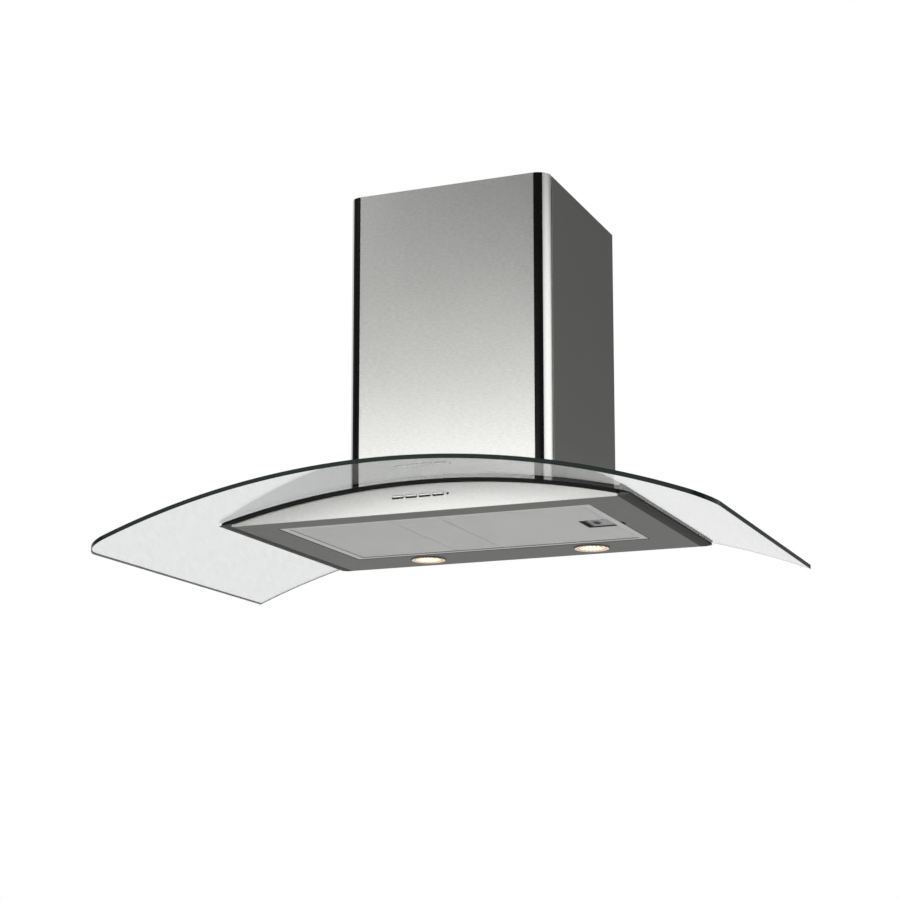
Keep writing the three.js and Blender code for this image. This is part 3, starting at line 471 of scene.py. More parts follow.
def build_grain_group():
    """Fine moulded or cast grain, with soft wear on the outer edges."""
    tree, given, result = finish_group("moulded_grain", [
        ("Grain Scale", "Float", 900.0),
        ("Dark", "Color", (0.02, 0.02, 0.02, 1)),
        ("Light", "Color", (0.05, 0.05, 0.05, 1)),
        ("Worn", "Color", (0.12, 0.12, 0.12, 1)),
        ("Smooth", "Float", 0.35),
        ("Rough", "Float", 0.6),
    ])
    place = object_coordinates(tree)
    enlarged = tree.nodes.new("ShaderNodeVectorMath")
    enlarged.operation = "SCALE"
    feed(tree, enlarged.inputs[0], place)
    feed(tree, enlarged.inputs["Scale"], given["Grain Scale"])
    grain = add_noise(tree, enlarged.outputs[0], 1.0, 2.0, 0.5)
    cloud = add_noise(tree, place, 25.0, 3.0, 0.55)
    blend = add_sum(tree, grain, 0.5, cloud, 0.5)
    tone = add_mix(tree, add_range(tree, blend, 0.3, 0.7, 0.0, 1.0), given["Dark"], given["Light"])
    geometry = tree.nodes.new("ShaderNodeNewGeometry")
    edge = add_range(tree, geometry.outputs["Pointiness"], 0.52, 0.6, 0.0, 0.7)
    wear = add_math(tree, "MULTIPLY", edge, cloud, clamp=True)
    feed(tree, result.inputs["Colour"], add_mix(tree, wear, tone, given["Worn"]))
    feed(tree, result.inputs["Roughness"], add_range(tree, blend, 0.3, 0.7, given["Smooth"], given["Rough"]))
    feed(tree, result.inputs["Height"], grain)


def build_spangle_group():
    """The crystal pattern of hot-dip galvanised sheet."""
    tree, given, result = finish_group("spangle", [
        ("Crystals", "Float", 90.0),
        ("Dark", "Color", (0.28, 0.3, 0.31, 1)),
        ("Light", "Color", (0.5, 0.52, 0.53, 1)),
    ])
    place = object_coordinates(tree)
    cells = tree.nodes.new("ShaderNodeTexVoronoi")
    feed(tree, cells.inputs["Vector"], place)
    feed(tree, cells.inputs["Scale"], given["Crystals"])
    shade = tree.nodes.new("ShaderNodeSeparateColor")
    feed(tree, shade.inputs["Color"], cells.outputs["Color"])
    colour = add_mix(tree, shade.outputs["Red"], given["Dark"], given["Light"])
    feed(tree, result.inputs["Colour"], colour)
    feed(tree, result.inputs["Roughness"], add_range(tree, shade.outputs["Green"], 0.0, 1.0, 0.35, 0.6))
    feed(tree, result.inputs["Height"], add_noise(tree, place, 400.0, 2.0))


# ---- materials ----


def blank_material(name):
    """A new material, with its node tree and its shader."""
    material = bpy.data.materials.new(name)
    material.use_nodes = True
    return material, material.node_tree, material.node_tree.nodes["Principled BSDF"]


def finish_with(name, group, values, metallic=0.0, bump=0.0, constants=()):
    """A material whose colour, roughness and bump come from one of the shader groups."""
    material, tree, shader = blank_material(name)
    effect = tree.nodes.new("ShaderNodeGroup")
    effect.node_tree = bpy.data.node_groups[group]
    for label, value in values.items():
        is_colour = effect.inputs[label].type == "RGBA"
        effect.inputs[label].default_value = (*value, 1.0) if is_colour else value
    tree.links.new(effect.outputs["Colour"], shader.inputs["Base Color"])
    tree.links.new(effect.outputs["Roughness"], shader.inputs["Roughness"])
    if bump:
        relief = tree.nodes.new("ShaderNodeBump")
        relief.inputs["Distance"].default_value = bump
        tree.links.new(effect.outputs["Height"], relief.inputs["Height"])
        tree.links.new(relief.outputs["Normal"], shader.inputs["Normal"])
    shader.inputs["Metallic"].default_value = metallic
    for label, value in dict(constants).items():
        shader.inputs[label].default_value = value
    return material


def scaled(colour, factor):
    return tuple(min(1.0, channel * factor) for channel in colour)


def brushed(name, colour, stretch, smooth, rough, depth, contrast=0.12, constants=()):
    """Bright or dark steel with brushing along the axis whose stretch is smallest."""
    return finish_with(
        name, "brushing",
        {
            "Stretch": stretch,
            "Dark": scaled(colour, 1 - contrast),
            "Light": scaled(colour, 1 + contrast),
            "Smooth": smooth,
            "Rough": rough,
        },
        metallic=1.0, bump=depth, constants=constants)


def moulded(name, colour, smooth, rough, grain=900.0, metallic=0.0, bump=0.02 * MM, constants=()):
    """Plastic, rubber, ceramic or cast metal with a fine grain."""
    return finish_with(
        name, "moulded_grain",
        {
            "Grain Scale": grain,
            "Dark": scaled(colour, 0.82),
            "Light": scaled(colour, 1.15),
            "Worn": scaled(colour, 1.9),
            "Smooth": smooth,
            "Rough": rough,
        },
        metallic=metallic, bump=bump, constants=constants)


def make_glass(settings):
    """Clear bent glass with faint wiping marks in its gloss."""
    material, tree, shader = blank_material("canopy_glass")
    shader.inputs["Transmission Weight"].default_value = 1.0
    shader.inputs["IOR"].default_value = 1.5
    shader.inputs["Metallic"].default_value = 0.0
    marks = add_noise(tree, add_stretch(tree, object_coordinates(tree), (3, 14, 14)), 1.0, 3.0)
    feed(tree, shader.inputs["Roughness"], add_range(tree, marks, 0.3, 0.75, 0.0, 0.025))
    tints = [(*scaled(settings.tint, factor), 1) for factor in (0.985, 1.01)]
    feed(tree, shader.inputs["Base Color"], add_mix(tree, marks, *tints))
    # Most light goes straight through the pane, so it casts only a faint shadow.
    paths = tree.nodes.new("ShaderNodeLightPath")
    feed(tree, shader.inputs["Alpha"], add_range(tree, paths.outputs["Is Shadow Ray"], 0.0, 1.0, 1.0, 0.25))
    return material


def make_lamp_glass(settings):
    """Ribbed lamp glass that glows white in the middle and warm towards its rim."""
    material, tree, shader = blank_material("lamp_glass")
    shader.inputs["Metallic"].default_value = 0.0
    radius = tree.nodes.new("ShaderNodeAttribute")
    radius.attribute_name = "glow_radius"
    ribs = tree.nodes.new("ShaderNodeTexWave")
    ribs.bands_direction = "X"
    for label, value in (("Scale", 60.0), ("Distortion", 1.2), ("Detail", 1.0)):
        ribs.inputs[label].default_value = value
    feed(tree, ribs.inputs["Vector"], object_coordinates(tree))
    ramp = tree.nodes.new("ShaderNodeValToRGB")
    stops = [
        (0.0, (1.0, 0.97, 0.90)), (0.3, (1.0, 0.90, 0.72)), (0.62, settings.glow_colour[:]),
        (0.88, scaled(settings.glow_colour, 0.55)), (1.0, (0.06, 0.045, 0.035)),
    ]
    ramp.color_ramp.elements[0].color = (*stops[0][1], 1)
    ramp.color_ramp.elements[1].color = (*stops[-1][1], 1)
    for position, colour in stops[1:-1]:
        ramp.color_ramp.elements.new(position).color = (*colour, 1)
    ripple = add_range(tree, ribs.outputs["Fac"], 0.0, 1.0, -0.24, 0.24)
    feed(tree, ramp.inputs["Fac"], add_math(tree, "ADD", radius.outputs["Fac"], ripple, clamp=True))
    feed(tree, shader.inputs["Emission Color"], ramp.outputs["Color"])
    feed(tree, shader.inputs["Roughness"], add_range(tree, ribs.outputs["Fac"], 0.0, 1.0, 0.12, 0.3))
    feed(tree, shader.inputs["Base Color"], ramp.outputs["Color"])
    shader.inputs["Emission Strength"].default_value = settings.glow
    return material


def make_materials():
    """Every finish of the hood, by the record's slot names and a few of its own."""
    build_brushing_group()
    build_grain_group()
    build_spangle_group()
    hood = bpy.context.scene
    steel, canopy = hood.hood_steel, hood.hood_canopy
    bright, dark, depth = steel.brushed_colour[:], steel.hull_colour[:], steel.grain_depth
    aluminium = (0.61, 0.61, 0.605)
    clear_coat = {"Coat Weight": 0.3, "Coat Roughness": 0.08}
    dull_edge = {"Specular Tint": (0.4, 0.4, 0.4, 1.0)}
    soft_edge = {"Specular Tint": (0.72, 0.72, 0.72, 1.0)}
    faint, weak = {"Specular IOR Level": 0.12}, {"Specular IOR Level": 0.25}
    # colour, stretch, smooth, rough, depth, contrast, constants
    brushings = {
        "hull_steel": (dark, (40, 600, 600), 0.32, 0.46, depth, 0.06, soft_edge),
        # painted shade: the hull steel darkened to 0.6 for the sideways side rails, which also get brushing along
        # their length
        "hull_steel_painted_shade": (scaled(dark, 0.6), (600, 40, 600), 0.3, 0.44, depth, 0.06, dull_edge),
        "brushed_steel": (bright, (140, 430, 430), 0.29, 0.35, depth, 0.17),
        # painted shade: the brushed steel darkened to 0.88 for the fascia
        "fascia_steel_painted_shade": (scaled(bright, 0.88), (140, 430, 430), 0.3, 0.36, depth, 0.14),
        # painted shade: the brushed steel darkened to 0.8 for the sideways chimney panels, which also get upright
        # brushing
        "side_steel_painted_shade": (scaled(bright, 0.8), (400, 400, 60), 0.2, 0.24, 0.0, 0.025),
        "button_steel": (scaled(bright, 1.05), (40, 900, 900), 0.2, 0.34, depth, 0.07),
        "filter_aluminium": (scaled(aluminium, 0.75), (12, 600, 600), 0.34, 0.5, depth, 0.07),
        "filter_mesh": (scaled(aluminium, 1.2), (60, 500, 500), 0.4, 0.6, depth, 0.1),
        "latch_metal": (scaled(aluminium, 0.42), (400, 20, 400), 0.34, 0.48, depth, 0.08),
    }
    # colour, smooth, rough, grain, metallic, bump, constants
    mouldings = {
        "glass_edge": (canopy.edge_colour[:], 0.2, 0.3, 60.0, 0.0, 0.0, faint),
        "black_seal": ((0.005, 0.005, 0.005), 0.55, 0.75, 1500.0, 0.0, 0.01 * MM, weak),
        "pocket_metal": ((0.22, 0.22, 0.22), 0.4, 0.55, 400.0, 1.0, 0.02 * MM, dull_edge),
        "bright_metal": ((0.62, 0.61, 0.6), 0.06, 0.16, 300.0, 1.0, 0.0),
        # painted light: a peach colour on the ring's inner slope that stands in for the lamp's glow
        "ring_painted_glow": ((0.9, 0.68, 0.5), 0.35, 0.5, 300.0),
        "ring_metal": ((0.16, 0.155, 0.15), 0.12, 0.24, 300.0, 1.0, 0.0, dull_edge),
        "lamp_holder": ((0.72, 0.68, 0.6), 0.5, 0.75, 700.0),
        "loom_sheath": ((0.7, 0.7, 0.66), 0.4, 0.6, 500.0),
        "black_trim": ((0.003, 0.003, 0.0033), 0.2, 0.32, 800.0, 0.0, 0.004 * MM, faint),
        "black_plastic": ((0.02, 0.02, 0.021), 0.4, 0.6, 1100.0),
        "duct_plastic": ((0.045, 0.046, 0.05), 0.38, 0.58, 1000.0),
        "pilot_lens": ((0.09, 0.008, 0.006), 0.08, 0.16, 400.0, 0.0, 0.0, clear_coat),
        "circuit_board": ((0.02, 0.12, 0.05), 0.3, 0.5, 600.0),
        "transformer_core": ((0.22, 0.21, 0.2), 0.4, 0.6, 300.0, 0.8),
        "motor_housing": ((0.36, 0.37, 0.38), 0.3, 0.5, 500.0, 1.0),
        "capacitor_case": ((0.7, 0.7, 0.68), 0.3, 0.5, 900.0),
    }
    return {
        **{name: brushed(name, *values) for name, values in brushings.items()},
        **{name: moulded(name, *values) for name, values in mouldings.items()},
        "canopy_glass": make_glass(canopy),
        "lamp_glass": make_lamp_glass(hood.hood_lamps),
        "galvanised": finish_with("galvanised", "spangle", {}, metallic=1.0, bump=0.01 * MM),
    }


MATERIALS = {}

# ---- canopy ----


def glass_columns():
    """Column places across the glass: dense at the round corners, even between them, with the notch edges."""
    half = GLASS_HIGH.x
    start = half - GLASS_CORNER
    corner = corner_columns(half, GLASS_CORNER, 12)
    inner = [x for x in span(-start, start, 88) if abs(abs(x) - NOTCH_HALF) > 4 * MM][1:-1]
    columns = [*(-x for x in corner), *corner, *inner, -NOTCH_HALF, NOTCH_HALF]
    return sorted(columns)


class HOOD_OT_canopy(Operator):
    """Build the bent glass and the black seal under it"""

    bl_idname = "hood.canopy"
    bl_label = "Glass canopy"

    def execute(self, context):
        settings = context.scene.hood_canopy
        rows = [
            lambda x: rounded_front(x, GLASS_HIGH.x, GLASS_LOW.y, GLASS_CORNER),
            lambda x: -NOTCH_DEPTH,
            lambda x: GLASS_HIGH.y,
        ]
        bm = bent_slab(
            glass_columns(), rows,
            lambda x: bend_height(x, 0),
            lambda x: bend_height(x, GLASS_THICKNESS),
            lambda x, row: row == 0 or abs(x) > NOTCH_HALF)
        for face in bm.faces:
            face.normal_update()
            rim = all(len(edge.link_faces) == 2 for edge in face.edges) and abs(face.normal.z) < 0.3
            face.material_index = 1 if rim else 0
        glass = mesh_object("canopy_glass_panel", bm, [MATERIALS["canopy_glass"], MATERIALS["glass_edge"]])
        round_edges(glass, settings.edge_polish, 3, 50.0, material=1)
        settle(glass, "hood", "canopy_glass", "glass_canopy")
        self.build_seal()
        return {"FINISHED"}

    def build_seal(self):
        """The seal's front band is deeper than the strips along the sides, and its lip is rounded."""
        half, front = SEAL_HIGH.x, SEAL_LOW.y
        corner, step = 12 * MM, PAN_HIGH.x
        strip, band = 13 * MM, 20.5 * MM
        turn = corner_columns(half, corner, 6)
        flat = span(-(half - corner), half - corner, 60)[1:-1]
        marks = [half - strip, step - 0.4 * MM, step + 0.4 * MM]
        plain = [x for x in flat if all(abs(abs(x) - mark) > 3 * MM for mark in marks)]
        columns = sorted([*plain, *turn, *(-x for x in turn), *marks, *(-x for x in marks)])

        def low(x):
            return bend_height(x, -4.7 * MM if abs(x) < step else -2.3 * MM)

        rows = [
            lambda x: rounded_front(x, half, front, corner),
            lambda x: front + band,
            lambda x: SEAL_HIGH.y,
        ]
        bm = bent_slab(
            columns, rows, low, lambda x: bend_height(x, -0.3 * MM),
            lambda x, row: row == 0 or abs(x) > half - strip)
        seal = mesh_object("canopy_seal", bm, [MATERIALS["black_seal"]])
        round_edges(seal, 0.8 * MM, 3, 50.0)
        settle(seal, "hood", "black_seal", "glass_gasket")


# ---- hull ----


class HOOD_OT_hull(Operator):
    """Build the curved fascia, the flat underside and the deck"""

    bl_idname = "hood.hull"
    bl_label = "Hull"

    def execute(self, context):
        edge = context.scene.hood_steel.edge_radius
        self.build_fascia(edge)
        self.build_underside(edge)
        self.build_deck()
        return {"FINISHED"}

    def build_fascia(self, edge):
        half, low = FASCIA_HIGH.x, FASCIA_LOW.z
        outline = [(-half, low), (half, low)]
        outline += [(x, bend_height(x, DECK_TOP)) for x in span(half, -half, 96)]
        holes = []
        for number in range(1, 5):
            cap_low, cap_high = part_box(f"button_{number}")
            slot_low = (cap_low.x - 0.7 * MM, cap_low.z - 1.2 * MM)
            slot_high = (cap_high.x + 0.3 * MM, cap_high.z + 0.2 * MM)
            holes.append(rounded_rectangle(slot_low, slot_high, 0.9 * MM, 4))
        pilot_low, pilot_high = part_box("pilot_lens")
        pilot = (pilot_low + pilot_high) / 2
        holes.append(arc((pilot.x, pilot.z), 1.7 * MM, 0, 345, 23))
        thickness = FASCIA_HIGH.y - FASCIA_LOW.y
        upright = Matrix.Rotation(math.pi / 2, 4, "X")
        stand = Matrix.Translation((0, FASCIA_LOW.y + thickness / 2, 0)) @ upright
        # the fascia's steel is the brushed steel darkened as painted shade
        fascia = cut_plate(
            "fascia_plate", [outline, *holes], thickness, stand, [MATERIALS["fascia_steel_painted_shade"]], edge)
        settle(fascia, "hood", "brushed_steel", "front_fascia")

    def build_underside(self, edge):
        tray_low, tray_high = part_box("filter_tray")
        wall = 3 * MM
        outline = [
            (PAN_LOW.x, PAN_LOW.y), (PAN_HIGH.x, PAN_LOW.y), (PAN_HIGH.x, PAN_HIGH.y), (PAN_LOW.x, PAN_HIGH.y),
        ]
        latch_low, latch_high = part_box("filter_latch")
        tongue_middle = (latch_low.y + latch_high.y) / 2
        slot_front, slot_back = tongue_middle - TONGUE_SLOT_HALF, tongue_middle + TONGUE_SLOT_HALF
        right, notch = tray_high.x - wall, 4 * MM
        opening = [
            (tray_low.x + wall, tray_low.y + wall), (right, tray_low.y + wall),
            (right, slot_front), (right + notch, slot_front), (right + notch, slot_back), (right, slot_back),
            (right, tray_high.y - wall), (tray_low.x + wall, tray_high.y - wall),
        ]
        holes = [opening]
        for side in ("left", "right"):
            low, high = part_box(f"lamp_bezel_{side}")
            middle = (low + high) / 2
            holes.append(arc((middle.x, middle.y), LAMP_HOLE, 0, 355, 71))
        thickness = PAN_HIGH.z - PAN_LOW.z
        lay = Matrix.Translation((0, 0, PAN_LOW.z + thickness / 2))
        pan = cut_plate("underside_sheet", [outline, *holes], thickness, lay, [MATERIALS["hull_steel"]], edge)
        settle(pan, "hood", "hull_steel", "underside_pan")

    def build_deck(self):
        low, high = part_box("top_deck")
        hole_half, hole_front, hole_back = 125 * MM, -248 * MM, -12 * MM
        steps = span(low.x, high.x, 60)
        plain = [x for x in steps if abs(abs(x) - hole_half) > 3 * MM]
        columns = sorted([*plain, -hole_half, hole_half])
        rows = [lambda x: low.y, lambda x: hole_front, lambda x: hole_back, lambda x: high.y]
        bm = bent_slab(
            columns, rows,
            lambda x: bend_height(x, DECK_UNDERSIDE),
            lambda x: bend_height(x, DECK_TOP),
            lambda x, row: row != 1 or abs(x) > hole_half)
        deck = mesh_object("deck_sheet", bm, [MATERIALS["hull_steel"]])
        round_edges(deck, 0.3 * MM, 2, 50.0)
        settle(deck, "hood", "hull_steel", "top_deck")


# ---- grease filter ----


def clip_line(start, direction, low, high):
    """The part of a line inside a rectangle, as two points, or None."""
    near, far = -10.0, 10.0
    for k in range(2):
        first = (low[k] - start[k]) / direction[k]
        second = (high[k] - start[k]) / direction[k]
        near, far = max(near, min(first, second)), min(far, max(first, second))
    if far - near < 1.5 * MM:
        return None
    return [(start[0] + direction[0] * t, start[1] + direction[1] * t) for t in (near, far)]


def add_strand(bm, ends, width, z_low, z_high):
    """One flat strand of the mesh between two points."""
    (x0, y0), (x1, y1) = ends
    length = math.hypot(x1 - x0, y1 - y0)
    across = (-(y1 - y0) / length * width / 2, (x1 - x0) / length * width / 2)
    corners = [
        (x0 + across[0], y0 + across[1]), (x0 - across[0], y0 - across[1]),
        (x1 - across[0], y1 - across[1]), (x1 + across[0], y1 + across[1]),
    ]
    loops = [[bm.verts.new((x, y, z)) for x, y in corners] for z in (z_low, z_high)]
    bm.faces.new(loops[0])
    bm.faces.new(loops[1])
    for k in range(4):
        n = (k + 1) % 4
        bm.faces.new([loops[0][k], loops[0][n], loops[1][n], loops[1][k]])


def add_mesh_layer(bm, panels, pitch, width, angle, z_low, thickness):
    """Two crossing families of strands, cut to each panel."""
    for family, sign in enumerate((1, -1)):
        direction = (math.cos(angle), sign * math.sin(angle))
        normal = (-direction[1], direction[0])
        bottom = z_low + family * thickness * 0.45
        for low, high in panels:
            corners = [(x, y) for x in (low[0], high[0]) for y in (low[1], high[1])]
            reach = [x * normal[0] + y * normal[1] for x, y in corners]
            first = math.ceil(min(reach) / pitch)
            for k in range(first, math.floor(max(reach) / pitch) + 1):
                start = (normal[0] * pitch * k, normal[1] * pitch * k)
                ends = clip_line(start, direction, low, high)
                if ends:
                    add_strand(bm, ends, width, bottom, bottom + thickness * 0.55)


class HOOD_OT_filter(Operator):
    """Build the grease filter's mesh, its latch pocket and the latch"""

    bl_idname = "hood.filter"
    bl_label = "Grease filter"

    def execute(self, context):
        settings = context.scene.hood_filter
        low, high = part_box("filter_mesh")
        pocket_low, pocket_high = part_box("filter_pocket")
        gap, inset = 0.8 * MM, 0.3 * MM
        seams = [-66 * MM, 7 * MM]
        left_edges = [low.x, *(x + gap for x in seams)]
        right_edges = [*(x - gap for x in seams), pocket_low.x - inset]
        panels = [((a, low.y), (b, high.y)) for a, b in zip(left_edges, right_edges)]
        beside = pocket_low.x - inset
        panels.append(((beside, low.y), (high.x, pocket_low.y - inset)))
        panels.append(((beside, pocket_high.y + inset), (high.x, high.y)))
        frame_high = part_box("filter_frame")[1]
        bm = bmesh.new()
        pitch, width, angle = settings.strand_pitch, settings.strand_width, settings.strand_angle
        layer, back = 0.8 * MM, frame_high.z - 1.2 * MM
        add_mesh_layer(bm, panels, pitch, width, angle, low.z, layer)
        add_mesh_layer(bm, panels, pitch * 1.6, width * 1.3, angle * 1.3, back, layer)
        face = mesh_object("filter_face_mesh", bm, [MATERIALS["filter_mesh"]])
        settle(face, "filter", "filter_mesh", "filter_mesh")
        self.build_core(panels, low.z + 1.0 * MM, frame_high.z - 1.4 * MM)
        self.build_pocket(pocket_low, pocket_high)
        self.build_latch()
        return {"FINISHED"}

    def build_core(self, panels, bottom, top):
        """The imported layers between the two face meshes, rippled like folded mesh."""
        bm = bmesh.new()
        ripple, pitch = 0.35 * MM, 5 * MM
        for low, high in panels:
            columns = span(low[0], high[0], max(2, round((high[0] - low[0]) / (pitch / 4))))
            rings = []
            for x in columns:
                lift = ripple * math.sin(2 * math.pi * x / pitch)
                rings.append([
                    (x, low[1], bottom + ripple + lift), (x, high[1], bottom + ripple + lift),
                    (x, high[1], top - ripple + lift), (x, low[1], top - ripple + lift),
                ])
            loft_rings(bm, rings)
        core = mesh_object("filter_core", bm, [MATERIALS["filter_mesh"]])
        settle(core, "filter", "filter_mesh")

    def build_pocket(self, low, high):
        """A pressed tray with rounded corners that the latch slides in."""
        bm = bmesh.new()
        wall = 1.5 * MM
        outer = rounded_rectangle((low.x, low.y), (high.x, high.y), 2.5 * MM)
        inner = rounded_rectangle((low.x + wall, low.y + wall), (high.x - wall, high.y - wall), 1.5 * MM)
        floor = high.z - 1.2 * MM
        rings = [
            [(x, y, high.z) for x, y in outer], [(x, y, low.z) for x, y in outer],
            [(x, y, low.z) for x, y in inner], [(x, y, floor) for x, y in inner],
        ]
        loft_rings(bm, rings)
        pocket = mesh_object("latch_pocket", bm, [MATERIALS["pocket_metal"]])
        round_edges(pocket, 0.3 * MM, 2)
        settle(pocket, "filter", "filter_aluminium", "filter_pocket")

    def build_latch(self):
        low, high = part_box("filter_latch")
        middle = (low.y + high.y) / 2
        plate_end, tongue_half = low.x + 30 * MM, 8 * MM
        turn = 2 * MM
        outline = [
            *arc((low.x + turn, low.y + turn), turn, 180, 270, 5),
            *arc((plate_end - turn, low.y + turn), turn, 270, 360, 5),
            (plate_end, middle - tongue_half), (high.x, middle - tongue_half),
            (high.x, middle + tongue_half), (plate_end, middle + tongue_half),
            *arc((plate_end - turn, high.y - turn), turn, 0, 90, 5),
            *arc((low.x + turn, high.y - turn), turn, 90, 180, 5),
        ]
        hole_x, hole_half = low.x + 10 * MM, 4.5 * MM
        hole = [
            *arc((hole_x, middle + hole_half), 4 * MM, 0, 180, 10),
            *arc((hole_x, middle - hole_half), 4 * MM, 180, 360, 10),
        ]
        plate_low = low.z + 1 * MM
        lay = Matrix.Translation((0, 0, (plate_low + high.z) / 2))
        latch = cut_plate(
            "latch_slider", [outline, hole], high.z - plate_low, lay, [MATERIALS["latch_metal"]], 0.3 * MM)
        settle(latch, "filter_latch", "filter_aluminium", "filter_latch")
        bm = bmesh.new()
        profile = [(4.2 * MM, 0.0), (5.2 * MM, -0.9 * MM), (5.9 * MM, -0.9 * MM), (6.0 * MM, 0.0)]
        rings = []
        for point, outward in oval_path(hole_x, middle, hole_half, 40):
            rings.append([
                (point[0] + outward[0] * r, point[1] + outward[1] * r, plate_low + h) for r, h in profile
            ])
        loft_rings(bm, rings, closed_path=True)
        lip_low = (low.x, low.y + 3 * MM, low.z)
        add_box(bm, lip_low, (low.x + 1.2 * MM, high.y - 3 * MM, plate_low + 0.2 * MM))
        grip = mesh_object("latch_finger_rim", bm, [MATERIALS["latch_metal"]])
        round_edges(grip, 0.2 * MM, 2, 60.0)
        settle(grip, "filter_latch", "filter_aluminium")


def oval_path(x, y, half, steps):
    """Centre points and outward directions round an oval whose straight part is 2 * half long in Y."""
    path = []
    for k in range(steps):
        angle = 2 * math.pi * k / steps
        outward = (math.cos(angle), math.sin(angle))
        path.append(((x, y + (half if outward[1] >= 0 else -half)), outward))
    return path


# ---- lamps ----


class HOOD_OT_lamps(Operator):
    """Build the lamp rings, glasses and reflectors"""

    bl_idname = "hood.lamps"
    bl_label = "Lamps"

    def execute(self, context):
        for side in ("left", "right"):
            low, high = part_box(f"lamp_bezel_{side}")
            centre = ((low.x + high.x) / 2, (low.y + high.y) / 2, UNDERSIDE)
            self.build_ring(side, centre)
            self.build_glass(side, centre)
            self.build_reflector(side, centre)
        return {"FINISHED"}

    def build_ring(self, side, centre):
        """The lamp's ring, whose inner slope carries the lamp's glow as a painted peach colour and whose rim is
        dark.
        """
        profile = [
            (22.4, 0.4), (22.6, -0.7), (24.0, -1.1), (25.8, -1.5), (26.7, -1.3), (27.2, -0.6),
            (27.1, -0.3), (24.4, -0.3), (24.4, 9.0), (23.2, 9.0), (23.2, 0.9), (22.4, 0.9),
        ]
        bm = lathe(bmesh.new(), [(r * MM, h * MM) for r, h in profile], centre, 96)
        # faces inside LAMP_RIM get the painted glow, the others the dark rim
        for face in bm.faces:
            middle = face.calc_center_median() - Vector(centre)
            face.material_index = int(math.hypot(middle.x, middle.y) < LAMP_RIM)
        finishes = [MATERIALS["ring_metal"], MATERIALS["ring_painted_glow"]]
        ring = mesh_object(f"lamp_ring_{side}", bm, finishes, 40.0)
        settle(ring, "hood", "bright_metal", f"lamp_bezel_{side}")

    def build_glass(self, side, centre):
        """Lamp glass with raised ribs that run from front to back."""
        bm = bmesh.new()
        outside = [(0, -0.9), (6, -0.9), (12, -0.85), (18, -0.75), (21.4, -0.55), (22.1, -0.2)]
        inside = [(22.1, 0.5), (18, 0.6), (12, 0.6), (6, 0.6), (0, 0.6)]
        disc(bm, [(r * MM, h * MM) for r, h in outside + inside], centre, 96)
        reach = 22.1 * MM
        radius_layer = bm.verts.layers.float.new("glow_radius")
        for vert in bm.verts:
            x, y = vert.co.x - centre[0], vert.co.y - centre[1]
            vert[radius_layer] = math.hypot(x, y) / reach
            if vert.co.z < centre[2]:
                vert.co.z += 0.18 * MM * math.cos(2 * math.pi * x / (3.4 * MM))
        glass = mesh_object(f"lamp_ribbed_glass_{side}", bm, [MATERIALS["lamp_glass"]])
        settle(glass, "hood", "lamp_glass", f"lamp_lens_{side}")

    def build_reflector(self, side, centre):
        """A bowl of flat facets."""
        profile = [
            (22.6, 1.4), (20.5, 8.0), (16.0, 14.0), (7.5, 18.0), (6.8, 17.2), (15.2, 13.2), (19.4, 7.6), (21.4, 1.4),
        ]
        bm = lathe(bmesh.new(), [(r * MM, h * MM) for r, h in profile], centre, 32)
        bowl = mesh_object(f"lamp_bowl_{side}", bm, [MATERIALS["bright_metal"]], 5.0)
        settle(bowl, "hood", "bright_metal", f"lamp_reflector_{side}")


# ---- controls ----


class HOOD_OT_controls(Operator):
    """Build the four push buttons and the pilot light"""

    bl_idname = "hood.controls"
    bl_label = "Controls"

    def execute(self, context):
        for number in range(1, 5):
            low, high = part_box(f"button_{number}")
            bm = bmesh.new()
            add_box(bm, low + Vector((0, 0, 0.7 * MM)), high)
            cap = mesh_object(f"push_button_{number}", bm, [MATERIALS["button_steel"]])
            round_edges(cap, 0.55 * MM, 4, 50.0)
            settle(cap, f"button_{number}", "button_steel", f"button_{number}")
        low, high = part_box("pilot_lens")
        middle = (low + high) / 2
        bm = bmesh.new()
        radius = (high.x - low.x) / 2
        depth = high.y - low.y
        profile = [
            (0.0, 0.0), (radius * 0.5, 0.08 * MM), (radius * 0.85, 0.35 * MM), (radius, 0.8 * MM),
            (radius, depth), (0.0, depth),
        ]
        disc(bm, profile, (0, 0, 0), 32)
        turn = Matrix.Translation((middle.x, low.y, middle.z)) @ Matrix.Rotation(-math.pi / 2, 4, "X")
        bmesh.ops.transform(bm, matrix=turn, verts=bm.verts)
        lens = mesh_object("pilot_light", bm, [MATERIALS["pilot_lens"]], 50.0)
        settle(lens, "hood", "pilot_lens", "pilot_lens")
        return {"FINISHED"}


# ---- chimney ----

CORNER_RADIUS = COVER_HIGH.y - COVER_LOW.y
TRIM_DEPTH = 1.1 * MM  # depth of the recess that holds the dark trim
TRIM_END = 38  # degrees of the corner that the trim covers


def chimney_foot(x):
    """Height of the chimney's lower edge, just above the bent glass."""
    return bend_height(x, GLASS_THICKNESS + 0.5 * MM)


